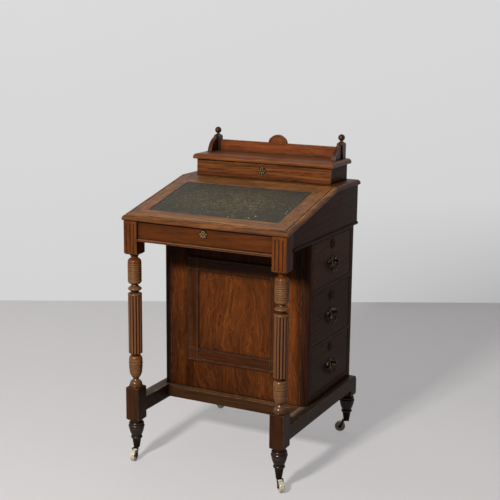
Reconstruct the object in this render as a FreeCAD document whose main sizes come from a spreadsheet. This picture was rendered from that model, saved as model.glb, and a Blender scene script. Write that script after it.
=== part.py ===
import FreeCAD, Part
import Sketcher
import math
import os
from types import SimpleNamespace

# A walnut davenport desk on castors.
# +X is to the sitter's right, +Y to the back, +Z up, in millimetres. The origin is on the floor,
# under the middle of the whole desk. Heights are counted from the floor.

DRIVING = {
    # slope case
    "case_width": 524,
    "case_back": 247,
    "leg_front": -273,
    "case_underside": 695,
    "flat_top": 835,
    "hinge_line": 67,
    "slope_angle": 12.8,
    "top_thickness": 16,
    "overhang": 6,
    "front_overhang": 4,
    "thumb_radius": 11,
    "thumb_foot": 3.5,
    "quirk_inset": 11.6,
    "quirk_width": 2.2,
    "quirk_depth": 2.4,
    "case_board": 14,
    "floor_board": 12,
    "fit_gap": 0.4,
    "apron_bottom": 682,
    "apron_recess": 8,
    "bead": 8,
    "base_bead_height": 8,
    "base_bead_proud": 3,
    # writing flap
    "frame_rail": 58,
    "leather_sink": 0.5,
    "leather_thickness": 1.6,
    # front legs
    "block": 44,
    "block_chamfer": 4,
    "upper_block_bottom": 641,
    "lower_block_top": 232,
    "lower_block_bottom": 127,
    "flute_radius": 2.9,
    "flute_pitch": 12,
    "flute_margin": 6,
    "turned_radius": 20.6,
    "neck_radius": 8.6,
    "reed_bottom": 333,
    "reed_top": 516,
    "reed_radius": 4,
    "reed_count": 12,
    # castors
    "wheel_diameter": 34,
    "wheel_width": 13,
    "trail": 20,
    "cup_bottom": 38.4,
    "cup_top": 66.5,
    "cup_top_radius": 13.4,
    "cup_bottom_radius": 9.2,
    "cup_wall": 1.8,
    "peg_bottom": 51,
    "pintle_radius": 3,
    "axle_radius": 2,
    "fork_plate": 2.6,
    "cheek": 2.4,
    # plinth and runners
    "runner_width": 37,
    "runner_bottom": 148,
    "plinth_top": 191,
    "plinth_front": -87,
    "plinth_rail": 36,
    "plinth_chamfer": 6,
    "runner_end": 285,
    "end_round": 20,
    # pedestal
    "pedestal_width": 490,
    "pedestal_front": -75,
    "pedestal_back": 265,
    "stile": 24,
    "stile_round": 14,
    "panel": 12,
    "side_rail_depth": 16,
    "reveal": 1,
    "bottom_rail_top": 213,
    "drawer_1_bottom": 538,
    "drawer_2_bottom": 367,
    "drawer_3_bottom": 213,
    "drawer_1_top": 680,
    "drawer_2_top": 527,
    "drawer_3_top": 356,
    "drawer_front": 16,
    "drawer_board": 9,
    "drawer_bottom": 6,
    "drawer_tail": -205,
    "drawer_runner": 12,
    "dummy_backing": 8,
    # applied frame on the front panel
    "frame_half_width": 158,
    "frame_bottom": 280,
    "frame_top": 610,
    "frame_band": 37,
    "frame_cross_band": 42,
    "strip": 7,
    "strip_proud": 5,
    "band_proud": 2.5,
    # pulls and keyholes
    "plate_width": 76,
    "plate_height": 40,
    "plate_thickness": 1.6,
    "pull_rise": 8,
    "post_spacing": 52,
    "bail_rod": 2.1,
    "bail_drop": 26,
    "bail_stand_off": 9,
    "bail_turn": 11,
    "pull_post_radius": 3.4,
    "escutcheon_width": 34,
    "rosette_radius": 12.6,
    "rosette_relief": 0.9,
    "escutcheon_height": 27,
    "escutcheon_rise": 66,
    "escutcheon_thickness": 1.6,
    "key_radius": 2.2,
    "key_slot": 8,
    "lock_width": 44,
    "lock_height": 30,
    "lock_depth": 10,
    # stationery box and its lid
    "box_half_width": 229,
    "box_front": 104,
    "box_back": 234,
    "box_top": 883,
    "box_board": 10,
    "partition": 6,
    "lid_thickness": 17,
    "lid_overhang": 10,
    "lid_round": 11,
    # gallery
    "gallery_line": 217,
    "gallery_board": 10,
    "gallery_top": 935,
    "post_x": 215,
    "post": 22,
    "post_top": 952,
    "post_chamfer": 6,
    "ball_radius": 10.5,
    "ball_centre": 964.5,
    "crest_radius": 31,
    "crest_rise": 26,
    "crest_rim": 3.5,
    "bracket_reach": 48,
    "bracket_thickness": 13,
    "bracket_top": 945,
    # butt hinges
    "hinge_length": 38,
    "hinge_x": 150,
    "knuckle": 2.4,
    "leaf": 1.5,
    "leaf_height": 13,
}

DRAWERS = (1, 2, 3)
LEFT, RIGHT = -1, 1
X_AXIS, Y_AXIS, Z_AXIS = FreeCAD.Vector(1, 0, 0), FreeCAD.Vector(0, 1, 0), FreeCAD.Vector(0, 0, 1)

doc = FreeCAD.newDocument("DavenportDesk")
parts = {}


class Size:
    """A size that carries its number and the expression that binds it to the sheet."""

    def __init__(self, number, text):
        self.number = float(number)
        self.text = text

    def join(self, other, sign, number):
        return Size(number, f"({self.text} {sign} {size(other).text})")

    def __add__(self, other):
        return self.join(other, "+", self.number + size(other).number)

    def __sub__(self, other):
        return self.join(other, "-", self.number - size(other).number)

    def __mul__(self, other):
        return self.join(other, "*", self.number * size(other).number)

    def __truediv__(self, other):
        return self.join(other, "/", self.number / size(other).number)

    def __radd__(self, other):
        return size(other) + self

    def __rsub__(self, other):
        return size(other) - self

    def __rmul__(self, other):
        return size(other) * self

    def __neg__(self):
        return self * -1

    def turn(self, name):
        """The sine, cosine or tangent of an angle in degrees."""
        return Size(getattr(math, name)(math.radians(self.number)), f"{name}({self.text} * 1 deg)")


def size(value):
    if isinstance(value, Size):
        return value
    return Size(value, f"({float(value):.6g})")


def write_sheet():
    sheet = doc.addObject("Spreadsheet::Sheet", "Dimensions")
    for row, (alias, value) in enumerate(DRIVING.items(), 1):
        sheet.set(f"A{row}", alias)
        sheet.set(f"B{row}", str(value))
        sheet.setAlias(f"B{row}", alias)
    doc.recompute()


write_sheet()
d = SimpleNamespace(**{alias: Size(value, "Dimensions." + alias) for alias, value in DRIVING.items()})

# Places that follow from the driving sizes.
d.half = d.case_width / 2
d.leg_x = d.half - d.block / 2
d.leg_y = d.leg_front + d.block / 2
d.outer = d.half + d.overhang
d.side_in = d.half - d.case_board
d.slope_cos = d.slope_angle.turn("cos")
d.slope_tan = d.slope_angle.turn("tan")
d.slope_length = (d.hinge_line - d.leg_front + d.front_overhang) / d.slope_cos
d.top_drop = d.top_thickness / d.slope_cos
d.flat_under = d.flat_top - d.top_thickness
d.pedestal_half = d.pedestal_width / 2
d.bay_front = d.pedestal_front + d.stile
d.bay_back = d.pedestal_back - d.stile
d.bay_middle = (d.bay_front + d.bay_back) / 2
d.lid_top = d.box_top + d.lid_thickness


def under_flap(y):
    """The height of the flap's underside over a line across the desk, less the fit gap."""
    return d.flat_top - (d.hinge_line - y) * d.slope_tan - d.top_drop - d.fit_gap


# ---- Building blocks ------------------------------------------------------------------------

def bind(thing, prop, value):
    thing.setExpression(prop, size(value).text)


def place(thing, x=0, y=0, z=0, axis=Z_AXIS, turn=0):
    thing.Placement = FreeCAD.Placement(FreeCAD.Vector(), FreeCAD.Rotation(axis, size(turn).number))
    if size(turn).number:
        thing.setExpression("Placement.Rotation.Angle", size(turn).text + " * 1 deg")
    for name, value in (("x", x), ("y", y), ("z", z)):
        bind(thing, "Placement.Base." + name, value)
    return thing


def board(label, low, high):
    """A square-edged board between two opposite corners."""
    box = doc.addObject("Part::Box", label)
    for prop, name, start, end in zip(("Length", "Width", "Height"), "xyz", low, high):
        bind(box, prop, size(end) - start)
        bind(box, "Placement.Base." + name, start)
    return box


def rod(label, radius, length, x=0, y=0, z=0, axis=Z_AXIS, turn=0):
    cylinder = doc.addObject("Part::Cylinder", label)
    bind(cylinder, "Radius", radius)
    bind(cylinder, "Height", length)
    return place(cylinder, x, y, z, axis, turn)


def cut(label, base, tools):
    tool = tools[0]
    if len(tools) > 1:
        tool = doc.addObject("Part::MultiFuse", label + "_tools")
        tool.Shapes = tools
    result = doc.addObject("Part::Cut", label)
    result.Base = base
    result.Tool = tool
    return result


def fuse(label, pieces):
    result = doc.addObject("Part::MultiFuse", label)
    result.Shapes = pieces
    return result


def group(label, pieces):
    """Separate solids of one kind kept as one node."""
    result = doc.addObject("Part::Compound", label)
    result.Links = pieces
    return result


def keep(name, thing):
    thing.Label = name
    parts[name] = thing
    return thing


def new_body(label):
    body = doc.addObject("PartDesign::Body", label)
    return body


def origin_part(body, role):
    return next(item for item in body.Origin.OriginFeatures if item.Role == role)


def new_sketch(body, role, lift=None, name="Sketch"):
    sketch = body.newObject("Sketcher::SketchObject", name)
    sketch.AttachmentSupport = [(origin_part(body, role), "")]
    sketch.MapMode = "FlatFace"
    if lift is not None:
        bind(sketch, "AttachmentOffset.Base.z", lift)
    return sketch


def locate(sketch, index, point, across, up):
    """Bind one sketch point to its distances from the sketch's origin."""
    for kind, value, axis in (("DistanceX", across, -2), ("DistanceY", up, -1)):
        value = size(value)
        if value.number == 0:
            sketch.addConstraint(Sketcher.Constraint("PointOnObject", index, point, axis))
            continue
        number = sketch.addConstraint(Sketcher.Constraint(kind, -1, 1, index, point, value.number))
        sketch.setExpression(f"Constraints[{number}]", value.text)


def vector(across, up):
    return FreeCAD.Vector(size(across).number, size(up).number, 0)


def outline(sketch, corners, closed=True):
    """An outline, drawn anticlockwise. A corner's third value bulges the edge that leaves it."""
    legs = list(zip(corners, corners[1:] + corners[:1]))
    if not closed:
        legs.pop()
    edges = []
    for corner, following in legs:
        start, end = vector(*corner[:2]), vector(*following[:2])
        if len(corner) == 2:
            index = sketch.addGeometry(Part.LineSegment(start, end), False)
            edges.append((index, 1, 2))
            continue
        chord, sag = end - start, size(corner[2]).number
        radius = chord.Length ** 2 / (8 * abs(sag)) + abs(sag) / 2
        outward = FreeCAD.Vector(chord.y, -chord.x, 0).normalize() * math.copysign(1, sag)
        centre = (start + end) / 2 - outward * (radius - abs(sag))
        first, last = (start, end) if sag > 0 else (end, start)
        angles = [math.atan2(point.y - centre.y, point.x - centre.x) for point in (first, last)]
        circle = Part.Circle(centre, Z_AXIS, radius)
        index = sketch.addGeometry(Part.ArcOfCircle(circle, *angles), False)
        edges.append((index, 1, 2) if sag > 0 else (index, 2, 1))
    meetings = zip(edges, edges[1:] + edges[:1] if closed else edges[1:])
    for (index, _, last), (following, first, _) in meetings:
        sketch.addConstraint(Sketcher.Constraint("Coincident", index, last, following, first))
    for (corner, following), (index, first, _) in zip(legs, edges):
        locate(sketch, index, first, *corner[:2])
        if len(corner) > 2:
            across = size(following[0]) - corner[0]
            up = size(following[1]) - corner[1]
            sag = size(corner[2]) * (1 if size(corner[2]).number > 0 else -1)
            radius = (across * across + up * up) / (sag * 8) + sag / 2
            number = sketch.addConstraint(Sketcher.Constraint("Radius", index, radius.number))
            sketch.setExpression(f"Constraints[{number}]", radius.text)
    if not closed:
        locate(sketch, edges[-1][0], edges[-1][2], *corners[-1][:2])


def disc(sketch, across, up, radius):
    radius = size(radius)
    circle = Part.Circle(vector(across, up), Z_AXIS, radius.number)
    index = sketch.addGeometry(circle, False)
    number = sketch.addConstraint(Sketcher.Constraint("Radius", index, radius.number))
    sketch.setExpression(f"Constraints[{number}]", radius.text)
    locate(sketch, index, 3, across, up)


def pad(body, sketch, length, reverse=False):
    feature = body.newObject("PartDesign::Pad", "Pad")
    feature.Profile = sketch
    feature.Reversed = reverse
    bind(feature, "Length", length)
    doc.recompute()
    return feature


def pocket(body, sketch, depth, reverse=False):
    before = body.Shape.Volume
    feature = body.newObject("PartDesign::Pocket", "Pocket")
    feature.Profile = sketch
    feature.Reversed = reverse
    bind(feature, "Length", depth)
    doc.recompute()
    if body.Shape.Volume > before - 1e-3:
        raise RuntimeError(f"{body.Label}: the pocket cuts nothing")
    return feature


def turning(body, corners, cutting=False):
    """Revolve an outline of radius and height round the body's upright axis."""
    before = body.Shape.Volume if cutting else 0
    sketch = new_sketch(body, "XZ_Plane")
    outline(sketch, corners)
    kind = "PartDesign::Groove" if cutting else "PartDesign::Revolution"
    feature = body.newObject(kind, "Turning")
    feature.Profile = sketch
    feature.ReferenceAxis = (sketch, ["V_Axis"])
    feature.Angle = 360
    doc.recompute()
    if cutting and body.Shape.Volume > before - 1e-3:
        raise RuntimeError(f"{body.Label}: the groove cuts nothing")
    return feature


def around(body, feature, count):
    pattern = body.newObject("PartDesign::PolarPattern", "PolarPattern")
    pattern.Originals = [feature]
    pattern.Axis = (origin_part(body, "Z_Axis"), [""])
    pattern.Angle = 360
    pattern.Occurrences = int(size(count).number)
    body.Tip = pattern
    doc.recompute()
    return pattern


def along(body, feature, role, length, count):
    pattern = body.newObject("PartDesign::LinearPattern", "LinearPattern")
    pattern.Originals = [feature]
    pattern.Direction = (origin_part(body, role), [""])
    bind(pattern, "Length", length)
    pattern.Occurrences = count
    body.Tip = pattern
    doc.recompute()
    return pattern


def dress(body, kind, prop, value, chosen):
    """A fillet or chamfer on the edges whose middle point passes the test."""
    base = body.Tip
    names = []
    for number, edge in enumerate(base.Shape.Edges, 1):
        middle = edge.valueAt((edge.FirstParameter + edge.LastParameter) / 2)
        if chosen(middle):
            names.append(f"Edge{number}")
    if not names:
        raise RuntimeError(f"{body.Label}: no edge to dress")
    feature = body.newObject(kind, "Dressing")
    feature.Base = (base, names)
    bind(feature, prop, value)
    doc.recompute()
    return feature


def fillet(body, radius, chosen):
    return dress(body, "PartDesign::Fillet", "Radius", radius, chosen)


def chamfer(body, width, chosen):
    return dress(body, "PartDesign::Chamfer", "Size", width, chosen)


def near(value, target):
    return abs(value - size(target).number) < 0.01


def profile_bar(label, corners, start, length):
    """A bar of one section in the Y-Z plane, running along X."""
    body = new_body(label)
    sketch = new_sketch(body, "YZ_Plane")
    outline(sketch, corners)
    pad(body, sketch, length)
    return place(body, start)


def rectangle(low_across, low_up, high_across, high_up):
    return [(low_across, low_up), (high_across, low_up), (high_across, high_up), (low_across, high_up)]


# ---- Front legs: fluted blocks, turned and reeded column, turned foot -------------------------

def foot_outline(block_bottom):
    """Ring-turned foot that tapers into a peg for the castor cup."""
    peg = d.cup_top_radius - d.cup_wall
    taper = (d.cup_top_radius - d.cup_bottom_radius) / (d.cup_top - d.cup_bottom)
    peg_end = peg - (d.cup_top - d.peg_bottom) * taper
    return [
        (0, d.peg_bottom),
        (peg_end, d.peg_bottom),
        (peg, d.cup_top),
        (14.2, d.cup_top, 3.2),
        (14.2, 76),
        (15.4, 78, 1),
        (22.8, 100.5),
        (21.8, 101.5),
        (22.8, 102.5, 1.7),
        (22.8, 111.5),
        (20.8, 112.5, 2),
        (20.8, 119.5),
        (17.5, 121.5),
        (19.5, block_bottom + 1),
        (0, block_bottom + 1),
    ]


def vase_outline():
    """Bell foot, narrow neck and long vase below the reeded column."""
    top = d.reed_bottom + 2
    wide, neck = d.turned_radius, d.neck_radius
    return [
        (0, d.lower_block_top - 1),
        (wide - 0.8, d.lower_block_top - 1),
        (wide - 0.8, 232.6, 1),
        (wide - 0.8, 237),
        (wide - 2.4, 238, 3.2),
        (10, 252.5),
        (neck, 255, -0.4),
        (neck + 0.6, 258.5, 2.6),
        (19.2, 284.6),
        (18, 285.5),
        (19.4, 286.4, 0.3),
        (20.1, 293.6),
        (18.9, 294.5),
        (20.2, 295.4),
        (20.5, 300),
        (19.1, 301),
        (19.1, 302.2),
        (wide, 303.2, 0.5),
        (wide, 308.4),
        (19.1, 309.4),
        (19.1, 310.6),
        (20.2, 311.6, 0.5),
        (19.6, 321),
        (18.4, 322),
        (19.4, 323, 1.6),
        (neck + 3, 330.4),
        (neck + 1.6, 331.4),
        (neck + 2.4, top),
        (0, top),
    ]


def column_outline():
    """The plain core that carries the reeds, with its neck above."""
    core = d.turned_radius - d.reed_radius - 1
    collar = d.turned_radius - 0.6
    return [
        (0, d.reed_bottom),
        (core, d.reed_bottom),
        (core, d.reed_top),
        (collar, d.reed_top, 1.2),
        (collar, d.reed_top + 5.6),
        (d.neck_radius + 1.4, d.reed_top + 9.6),
        (d.neck_radius + 1.4, d.reed_top + 11),
        (0, d.reed_top + 11),
    ]


def barrel_outline():
    """Double-cone ring and ringed barrel between the reeded column and the upper block."""
    wide, neck = d.turned_radius, d.neck_radius
    corners = [
        (0, 526),
        (neck + 1.4, 526),
        (wide - 0.8, 533.6, 0.8),
        (wide - 0.8, 537.6),
        (neck + 2, 545.6),
        (neck + 1, 547.5),
        (neck + 2.4, 549.5, 1.4),
        (wide - 0.4, 556.5, 0.7),
        (wide - 0.4, 563.4),
    ]
    for ring in range(8):
        groove = 563.4 + 6.2 * ring
        corners += [(wide - 1.5, groove + 1), (wide - 0.2, groove + 2, 0.45)]
        corners.append((wide - 0.2, groove + 6.2))
    corners += [
        (wide - 1.5, 614),
        (wide - 0.4, 615, 0.3),
        (wide - 0.6, 618.5, 2.2),
        (neck + 2.4, 628.4),
        (neck + 1.6, 630),
        (neck + 1.8, 631.5, -1.8),
        (20.2, d.upper_block_bottom + 1),
        (0, d.upper_block_bottom + 1),
    ]
    return corners


def flutes(body, bottom, top):
    """Three flutes cut into the front face of a block."""
    face = -d.block / 2
    sketch = new_sketch(body, "XY_Plane", bottom + d.flute_margin)
    disc(sketch, -d.flute_pitch, face, d.flute_radius)
    first = pocket(body, sketch, top - bottom - d.flute_margin * 2, True)
    along(body, first, "X_Axis", d.flute_pitch * 2, 3)


def front_leg(name, side):
    body = new_body(name)
    half = d.block / 2
    lower = new_sketch(body, "XY_Plane", d.lower_block_bottom)
    outline(lower, rectangle(-half, -half, half, half))
    pad(body, lower, d.lower_block_top - d.lower_block_bottom)
    chamfer(body, d.block_chamfer, lambda p: near(p.z, d.lower_block_bottom))
    chamfer(body, d.block_chamfer / 2, lambda p: near(p.z, d.lower_block_top))
    turning(body, foot_outline(d.lower_block_bottom))
    turning(body, vase_outline())
    turning(body, column_outline())
    reed = new_sketch(body, "XY_Plane", d.reed_bottom)
    disc(reed, d.turned_radius - d.reed_radius, 0, d.reed_radius)
    around(body, pad(body, reed, d.reed_top - d.reed_bottom), d.reed_count)
    # The reeds stop under a collar at the top and run out on a turned slope at the bottom.
    out = d.turned_radius + 4
    turning(body, [(12.6, d.reed_bottom - 1), (out, d.reed_bottom - 1), (out, d.reed_bottom + 8.4)], True)
    turning(body, barrel_outline())
    upper = new_sketch(body, "YZ_Plane", -half)
    outline(upper, [
        (-half, d.upper_block_bottom),
        (half, d.upper_block_bottom),
        (half, under_flap(d.leg_y + half)),
        (-half, under_flap(d.leg_y - half)),
    ])
    pad(body, upper, d.block)
    chamfer(body, d.block_chamfer, lambda p: near(p.z, d.upper_block_bottom) and
            max(abs(p.x), abs(p.y)) > half.number - 0.01)
    flutes(body, d.upper_block_bottom, d.upper_block_bottom + 98)
    return keep(name, place(body, d.leg_x * side, d.leg_y))


front_leg("leg_left", LEFT)
front_leg("leg_right", RIGHT)


# ---- Plinth: runners with rounded end blocks, cross rails, back feet --------------------------

def runner(label, side):
    """A rail from the leg to the back, ending in a deeper block with a rounded top corner."""
    start = d.runner_end - d.block
    turn = d.end_round
    body = profile_bar(label, [
        (d.leg_front + d.block, d.runner_bottom),
        (start, d.runner_bottom),
        (start, d.lower_block_bottom),
        (d.runner_end, d.lower_block_bottom),
        (d.runner_end, d.plinth_top - turn, turn * (1 - math.sqrt(0.5))),
        (d.runner_end - turn, d.plinth_top),
        (d.leg_front + d.block, d.plinth_top),
    ], d.half - d.runner_width if side == RIGHT else -d.half, d.runner_width)
    return body


def plinth():
    keep("runners", group("Runners", [runner("RunnerLeft", LEFT), runner("RunnerRight", RIGHT)]))
    inner = d.half - d.runner_width
    rails = []
    for label, front, slope_front in (("FrontPlinth", d.plinth_front, True),
                                      ("BackPlinth", d.pedestal_back - d.plinth_rail, False)):
        back = front + d.plinth_rail
        edge = d.plinth_chamfer
        low = d.runner_bottom + 4
        corners = [(front, low), (back, low), (back, d.plinth_top)]
        corners += [(front + edge, d.plinth_top), (front, d.plinth_top - edge)] if slope_front else [
            (front, d.plinth_top)]
        rails.append(profile_bar(label, corners, -inner, inner * 2))
    keep("plinth_rails", group("PlinthRails", rails))


def back_foot(label, side):
    body = new_body(label)
    turning(body, foot_outline(d.lower_block_bottom - 1))
    return place(body, d.leg_x * side, d.runner_end - d.block / 2)


plinth()
keep("back_feet", group("BackFeet", [back_foot("BackFootLeft", LEFT), back_foot("BackFootRight", RIGHT)]))


# ---- Castors: brass cup, swivelling fork with its axle, ceramic wheel --------------------------

CASTORS = {
    # corner: side, y of the foot, trail direction in degrees from +X
    "front_left": (LEFT, d.leg_y, -82),
    "front_right": (RIGHT, d.leg_y, -48),
    "back_left": (LEFT, d.runner_end - d.block / 2, -28),
    "back_right": (RIGHT, d.runner_end - d.block / 2, -156),
}


def castor_cup(label, side, foot_y):
    body = new_body(label)
    top, bottom, wall = d.cup_top_radius, d.cup_bottom_radius, d.cup_wall
    taper = (top - bottom) / (d.cup_top - d.cup_bottom)
    peg_end = top - wall - (d.cup_top - d.peg_bottom) * taper
    bore = d.pintle_radius + 0.3
    turning(body, [
        (bore, d.cup_bottom),
        (bottom, d.cup_bottom),
        (top, d.cup_top),
        (top - wall, d.cup_top),
        (peg_end, d.peg_bottom),
        (bore, d.peg_bottom),
    ])
    return place(body, d.leg_x * side, foot_y)


def castor_fork(name, side, foot_y, heading):
    """Plate on a pintle under the cup, with two cheeks and the axle across them."""
    body = new_body(name)
    radius = d.wheel_diameter / 2
    inner = d.wheel_width / 2 + 0.8
    wide = inner + d.cheek
    plate_top = d.cup_bottom - 0.4
    plate_bottom = plate_top - d.fork_plate
    plate = new_sketch(body, "XY_Plane", plate_bottom)
    outline(plate, [(-6, -6, 3.4), (6, -6), (13, -wide), (13, wide), (6, 6), (-6, 6, 3.4)])
    pad(body, plate, d.fork_plate)
    for start in (-wide, inner):
        cheek = new_sketch(body, "XZ_Plane", -(start + d.cheek))
        boss = d.axle_radius + 2.6
        outline(cheek, [
            (d.trail - boss * 0.7, radius - boss * 0.72, boss * 0.42),
            (d.trail + boss * 0.7, radius - boss * 0.72, boss * 0.42),
            (d.trail + boss * 0.7, radius + boss * 0.72, -1.2),
            (13, plate_bottom + 1),
            (6.5, plate_bottom + 1, -1.6),
        ])
        pad(body, cheek, d.cheek)
    pintle = new_sketch(body, "XY_Plane", plate_top - 1)
    disc(pintle, 0, 0, d.pintle_radius)
    pad(body, pintle, d.peg_bottom - plate_top - 1)
    axle = new_sketch(body, "XZ_Plane", -(wide + 1))
    disc(axle, d.trail, radius, d.axle_radius)
    pad(body, axle, wide * 2 + 2)
    return keep(name, place(body, d.leg_x * side, foot_y, 0, Z_AXIS, heading))


def castor_wheel(name, side, foot_y, heading):
    """Crowned ceramic wheel with recessed faces."""
    body = new_body(name)
    radius, half = d.wheel_diameter / 2, d.wheel_width / 2
    bore = d.axle_radius + 0.3
    turning(body, [
        (bore, -half),
        (6, -half),
        (6.8, -half + 1),
        (radius * 0.66, -half + 1),
        (radius * 0.72, -half),
        (radius - 1.4, -half, 0.5),
        (radius, -half + 3),
        (radius, half - 3, 0.5),
        (radius - 1.4, half),
        (radius * 0.72, half),
        (radius * 0.66, half - 1),
        (6.8, half - 1),
        (6, half),
        (bore, half),
    ])
    reach_x = d.trail * size(heading).turn("cos")
    reach_y = d.trail * size(heading).turn("sin")
    level = FreeCAD.Rotation(Z_AXIS, heading) * FreeCAD.Rotation(X_AXIS, 90)
    body.Placement = FreeCAD.Placement(FreeCAD.Vector(), level)
    bind(body, "Placement.Base.x", d.leg_x * side + reach_x)
    bind(body, "Placement.Base.y", foot_y + reach_y)
    bind(body, "Placement.Base.z", radius)
    return keep(name, body)


def castors():
    cups = []
    for corner, (side, foot_y, heading) in CASTORS.items():
        cups.append(castor_cup("Cup_" + corner, side, foot_y))
        castor_fork("castor_fork_" + corner, side, foot_y, heading)
        castor_wheel("castor_wheel_" + corner, side, foot_y, heading)
    keep("castor_cups", group("CastorCups", cups))


castors()


# ---- Pedestal: stiles, panels, rails and the bays for the drawers -----------------------------

def corner_stile(label, side, front):
    """A post with a rounded outer corner at the front."""
    body = new_body(label)
    outer = d.pedestal_half * side
    inner = (d.pedestal_half - d.stile) * side
    low, high = (inner, outer) if side == RIGHT else (outer, inner)
    start, end = (d.pedestal_front, d.bay_front) if front else (d.bay_back, d.pedestal_back)
    sketch = new_sketch(body, "XY_Plane", d.plinth_top)
    outline(sketch, rectangle(low, start, high, end))
    pad(body, sketch, d.case_underside - d.plinth_top)
    if front:
        fillet(body, d.stile_round, lambda p: near(p.x, outer) and near(p.y, d.pedestal_front))
    else:
        fillet(body, d.reveal * 2, lambda p: near(p.x, outer) and near(p.y, d.pedestal_back))
    return body


def applied_frame():
    """Raised band with a crossing bead along each edge, mounted on the front panel."""
    half, band, strip = d.frame_half_width, d.frame_band, d.strip
    cross_band = d.frame_cross_band
    front = d.pedestal_front
    pieces = []

    def bar(label, low, high, proud):
        piece = board(label, (low[0], front - proud, low[1]), (high[0], front, high[1]))
        pieces.append(piece)

    inner_low, inner_high = d.frame_bottom + cross_band, d.frame_top - cross_band
    bar("BandLeft", (-half, inner_low), (-half + band, inner_high), d.band_proud)
    bar("BandRight", (half - band, inner_low), (half, inner_high), d.band_proud)
    bar("BandBottom", (-half, d.frame_bottom), (half, inner_low), d.band_proud)
    bar("BandTop", (-half, inner_high), (half, d.frame_top), d.band_proud)
    flat = fuse("FrameBand", list(pieces))
    strips = [flat]
    section = strip / 2

    def bead(label, upright, at, start, length):
        """A bead of three-sided rounded section laid on the band."""
        body = new_body(label)
        sketch = new_sketch(body, "XY_Plane" if upright else "YZ_Plane")
        crown = d.strip_proud - d.band_proud
        if upright:
            outline(sketch, [
                (-section, front),
                (-section, front - d.band_proud, crown * 0.9),
                (section, front - d.band_proud),
                (section, front),
            ])
            pad(body, sketch, length)
            place(body, at, 0, start)
        else:
            outline(sketch, [
                (front - d.band_proud, section, crown * 0.9),
                (front - d.band_proud, -section),
                (front, -section),
                (front, section),
            ])
            pad(body, sketch, length)
            place(body, start, 0, at)
        strips.append(body)

    height, width = d.frame_top - d.frame_bottom, half * 2
    for label, x in (("OuterLeft", -half + section), ("InnerLeft", -half + band - section),
                     ("InnerRight", half - band + section), ("OuterRight", half - section)):
        bead("Bead" + label, True, x, d.frame_bottom, height)
    for label, z in (("OuterBottom", d.frame_bottom + section), ("InnerBottom", inner_low - section),
                     ("InnerTop", inner_high + section), ("OuterTop", d.frame_top - section)):
        bead("Bead" + label, False, z, -half, width)
    keep("panel_moulding", fuse("PanelMoulding", strips))


def side_rails(side):
    """Rails above, between and below the drawers of one side."""
    outer, inner = d.pedestal_half, d.pedestal_half - d.side_rail_depth
    low_x, high_x = (inner, outer) if side == RIGHT else (-outer, -inner)
    levels = {
        "Top": (d.drawer_1_top, d.case_underside),
        "Upper": (d.drawer_2_top, d.drawer_1_bottom),
        "Lower": (d.drawer_3_top, d.drawer_2_bottom),
        "Bottom": (d.plinth_top, d.bottom_rail_top),
    }
    name = "Right" if side == RIGHT else "Left"
    return [board(f"Rail{name}{level}", (low_x, d.bay_front, low), (high_x, d.bay_back, high))
            for level, (low, high) in levels.items()]


def drawer_span(number):
    return getattr(d, f"drawer_{number}_bottom"), getattr(d, f"drawer_{number}_top")


def pedestal():
    stiles = [corner_stile(f"Stile{side}{front}", side, front)
              for side in (LEFT, RIGHT) for front in (True, False)]
    keep("corner_stiles", group("CornerStiles", stiles))
    inner = d.pedestal_half - d.stile
    low, high = d.plinth_top, d.case_underside
    keep("front_panel", board("FrontPanel", (-inner, d.pedestal_front, low),
                              (inner, d.pedestal_front + d.panel, high)))
    applied_frame()
    backing_x = -d.pedestal_half + d.side_rail_depth
    floor_start = backing_x + d.dummy_backing
    keep("pedestal_panels", group("PedestalPanels", [
        board("BackPanel", (-inner, d.pedestal_back - d.panel, low), (inner, d.pedestal_back, high)),
        board("LeftSidePanel", (backing_x, d.bay_front, low), (floor_start, d.bay_back, high)),
    ]))
    keep("pedestal_floor", board("PedestalFloor", (floor_start, d.bay_front, low),
                                 (d.pedestal_half - d.side_rail_depth, d.bay_back, low + d.floor_board)))
    keep("side_rails", group("SideRails", side_rails(LEFT) + side_rails(RIGHT)))
    strips = []
    for number in DRAWERS:
        top = drawer_span(number)[0] + d.reveal * 2 - d.fit_gap
        for label, start in (("Front", d.bay_front), ("Back", d.bay_back - d.drawer_runner)):
            strips.append(board(f"DrawerRunner{label}{number}",
                                (floor_start, start, top - d.drawer_runner + d.reveal * 4),
                                (d.pedestal_half - d.drawer_front - d.fit_gap,
                                 start + d.drawer_runner, top)))
    keep("drawer_runners", group("DrawerRunners", strips))


pedestal()


# ---- Drawers on the right, dummy fronts on the left ------------------------------------------

def drawer_face(label, side, number):
    """A flush front with its outer edges softened."""
    bottom, top = drawer_span(number)
    gap = d.reveal
    body = new_body(label)
    sketch = new_sketch(body, "YZ_Plane")
    outline(sketch, rectangle(d.bay_front + gap, bottom + gap, d.bay_back - gap, top - gap))
    pad(body, sketch, d.drawer_front)
    outer = d.drawer_front if side == RIGHT else size(0)
    fillet(body, d.reveal * 1.6, lambda p: near(p.x, outer))
    start = d.pedestal_half - d.drawer_front if side == RIGHT else -d.pedestal_half
    return place(body, start)


def drawer_box(number):
    """Two sides, a back and a bottom behind the front."""
    bottom, top = drawer_span(number)
    low, high = bottom + d.reveal * 2, top - 12
    front = d.pedestal_half - d.drawer_front
    near_y, far_y = d.bay_front + 3, d.bay_back - 3
    wall, base = d.drawer_board, d.drawer_bottom
    tail = d.drawer_tail
    return [
        board(f"DrawerSideNear{number}", (tail, near_y, low), (front, near_y + wall, high)),
        board(f"DrawerSideFar{number}", (tail, far_y - wall, low), (front, far_y, high)),
        board(f"DrawerBack{number}", (tail, near_y + wall, low), (tail + wall, far_y - wall, high - 6)),
        board(f"DrawerBottom{number}", (tail + wall, near_y + wall, low + 4),
              (front, far_y - wall, low + 4 + base)),
    ]


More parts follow.
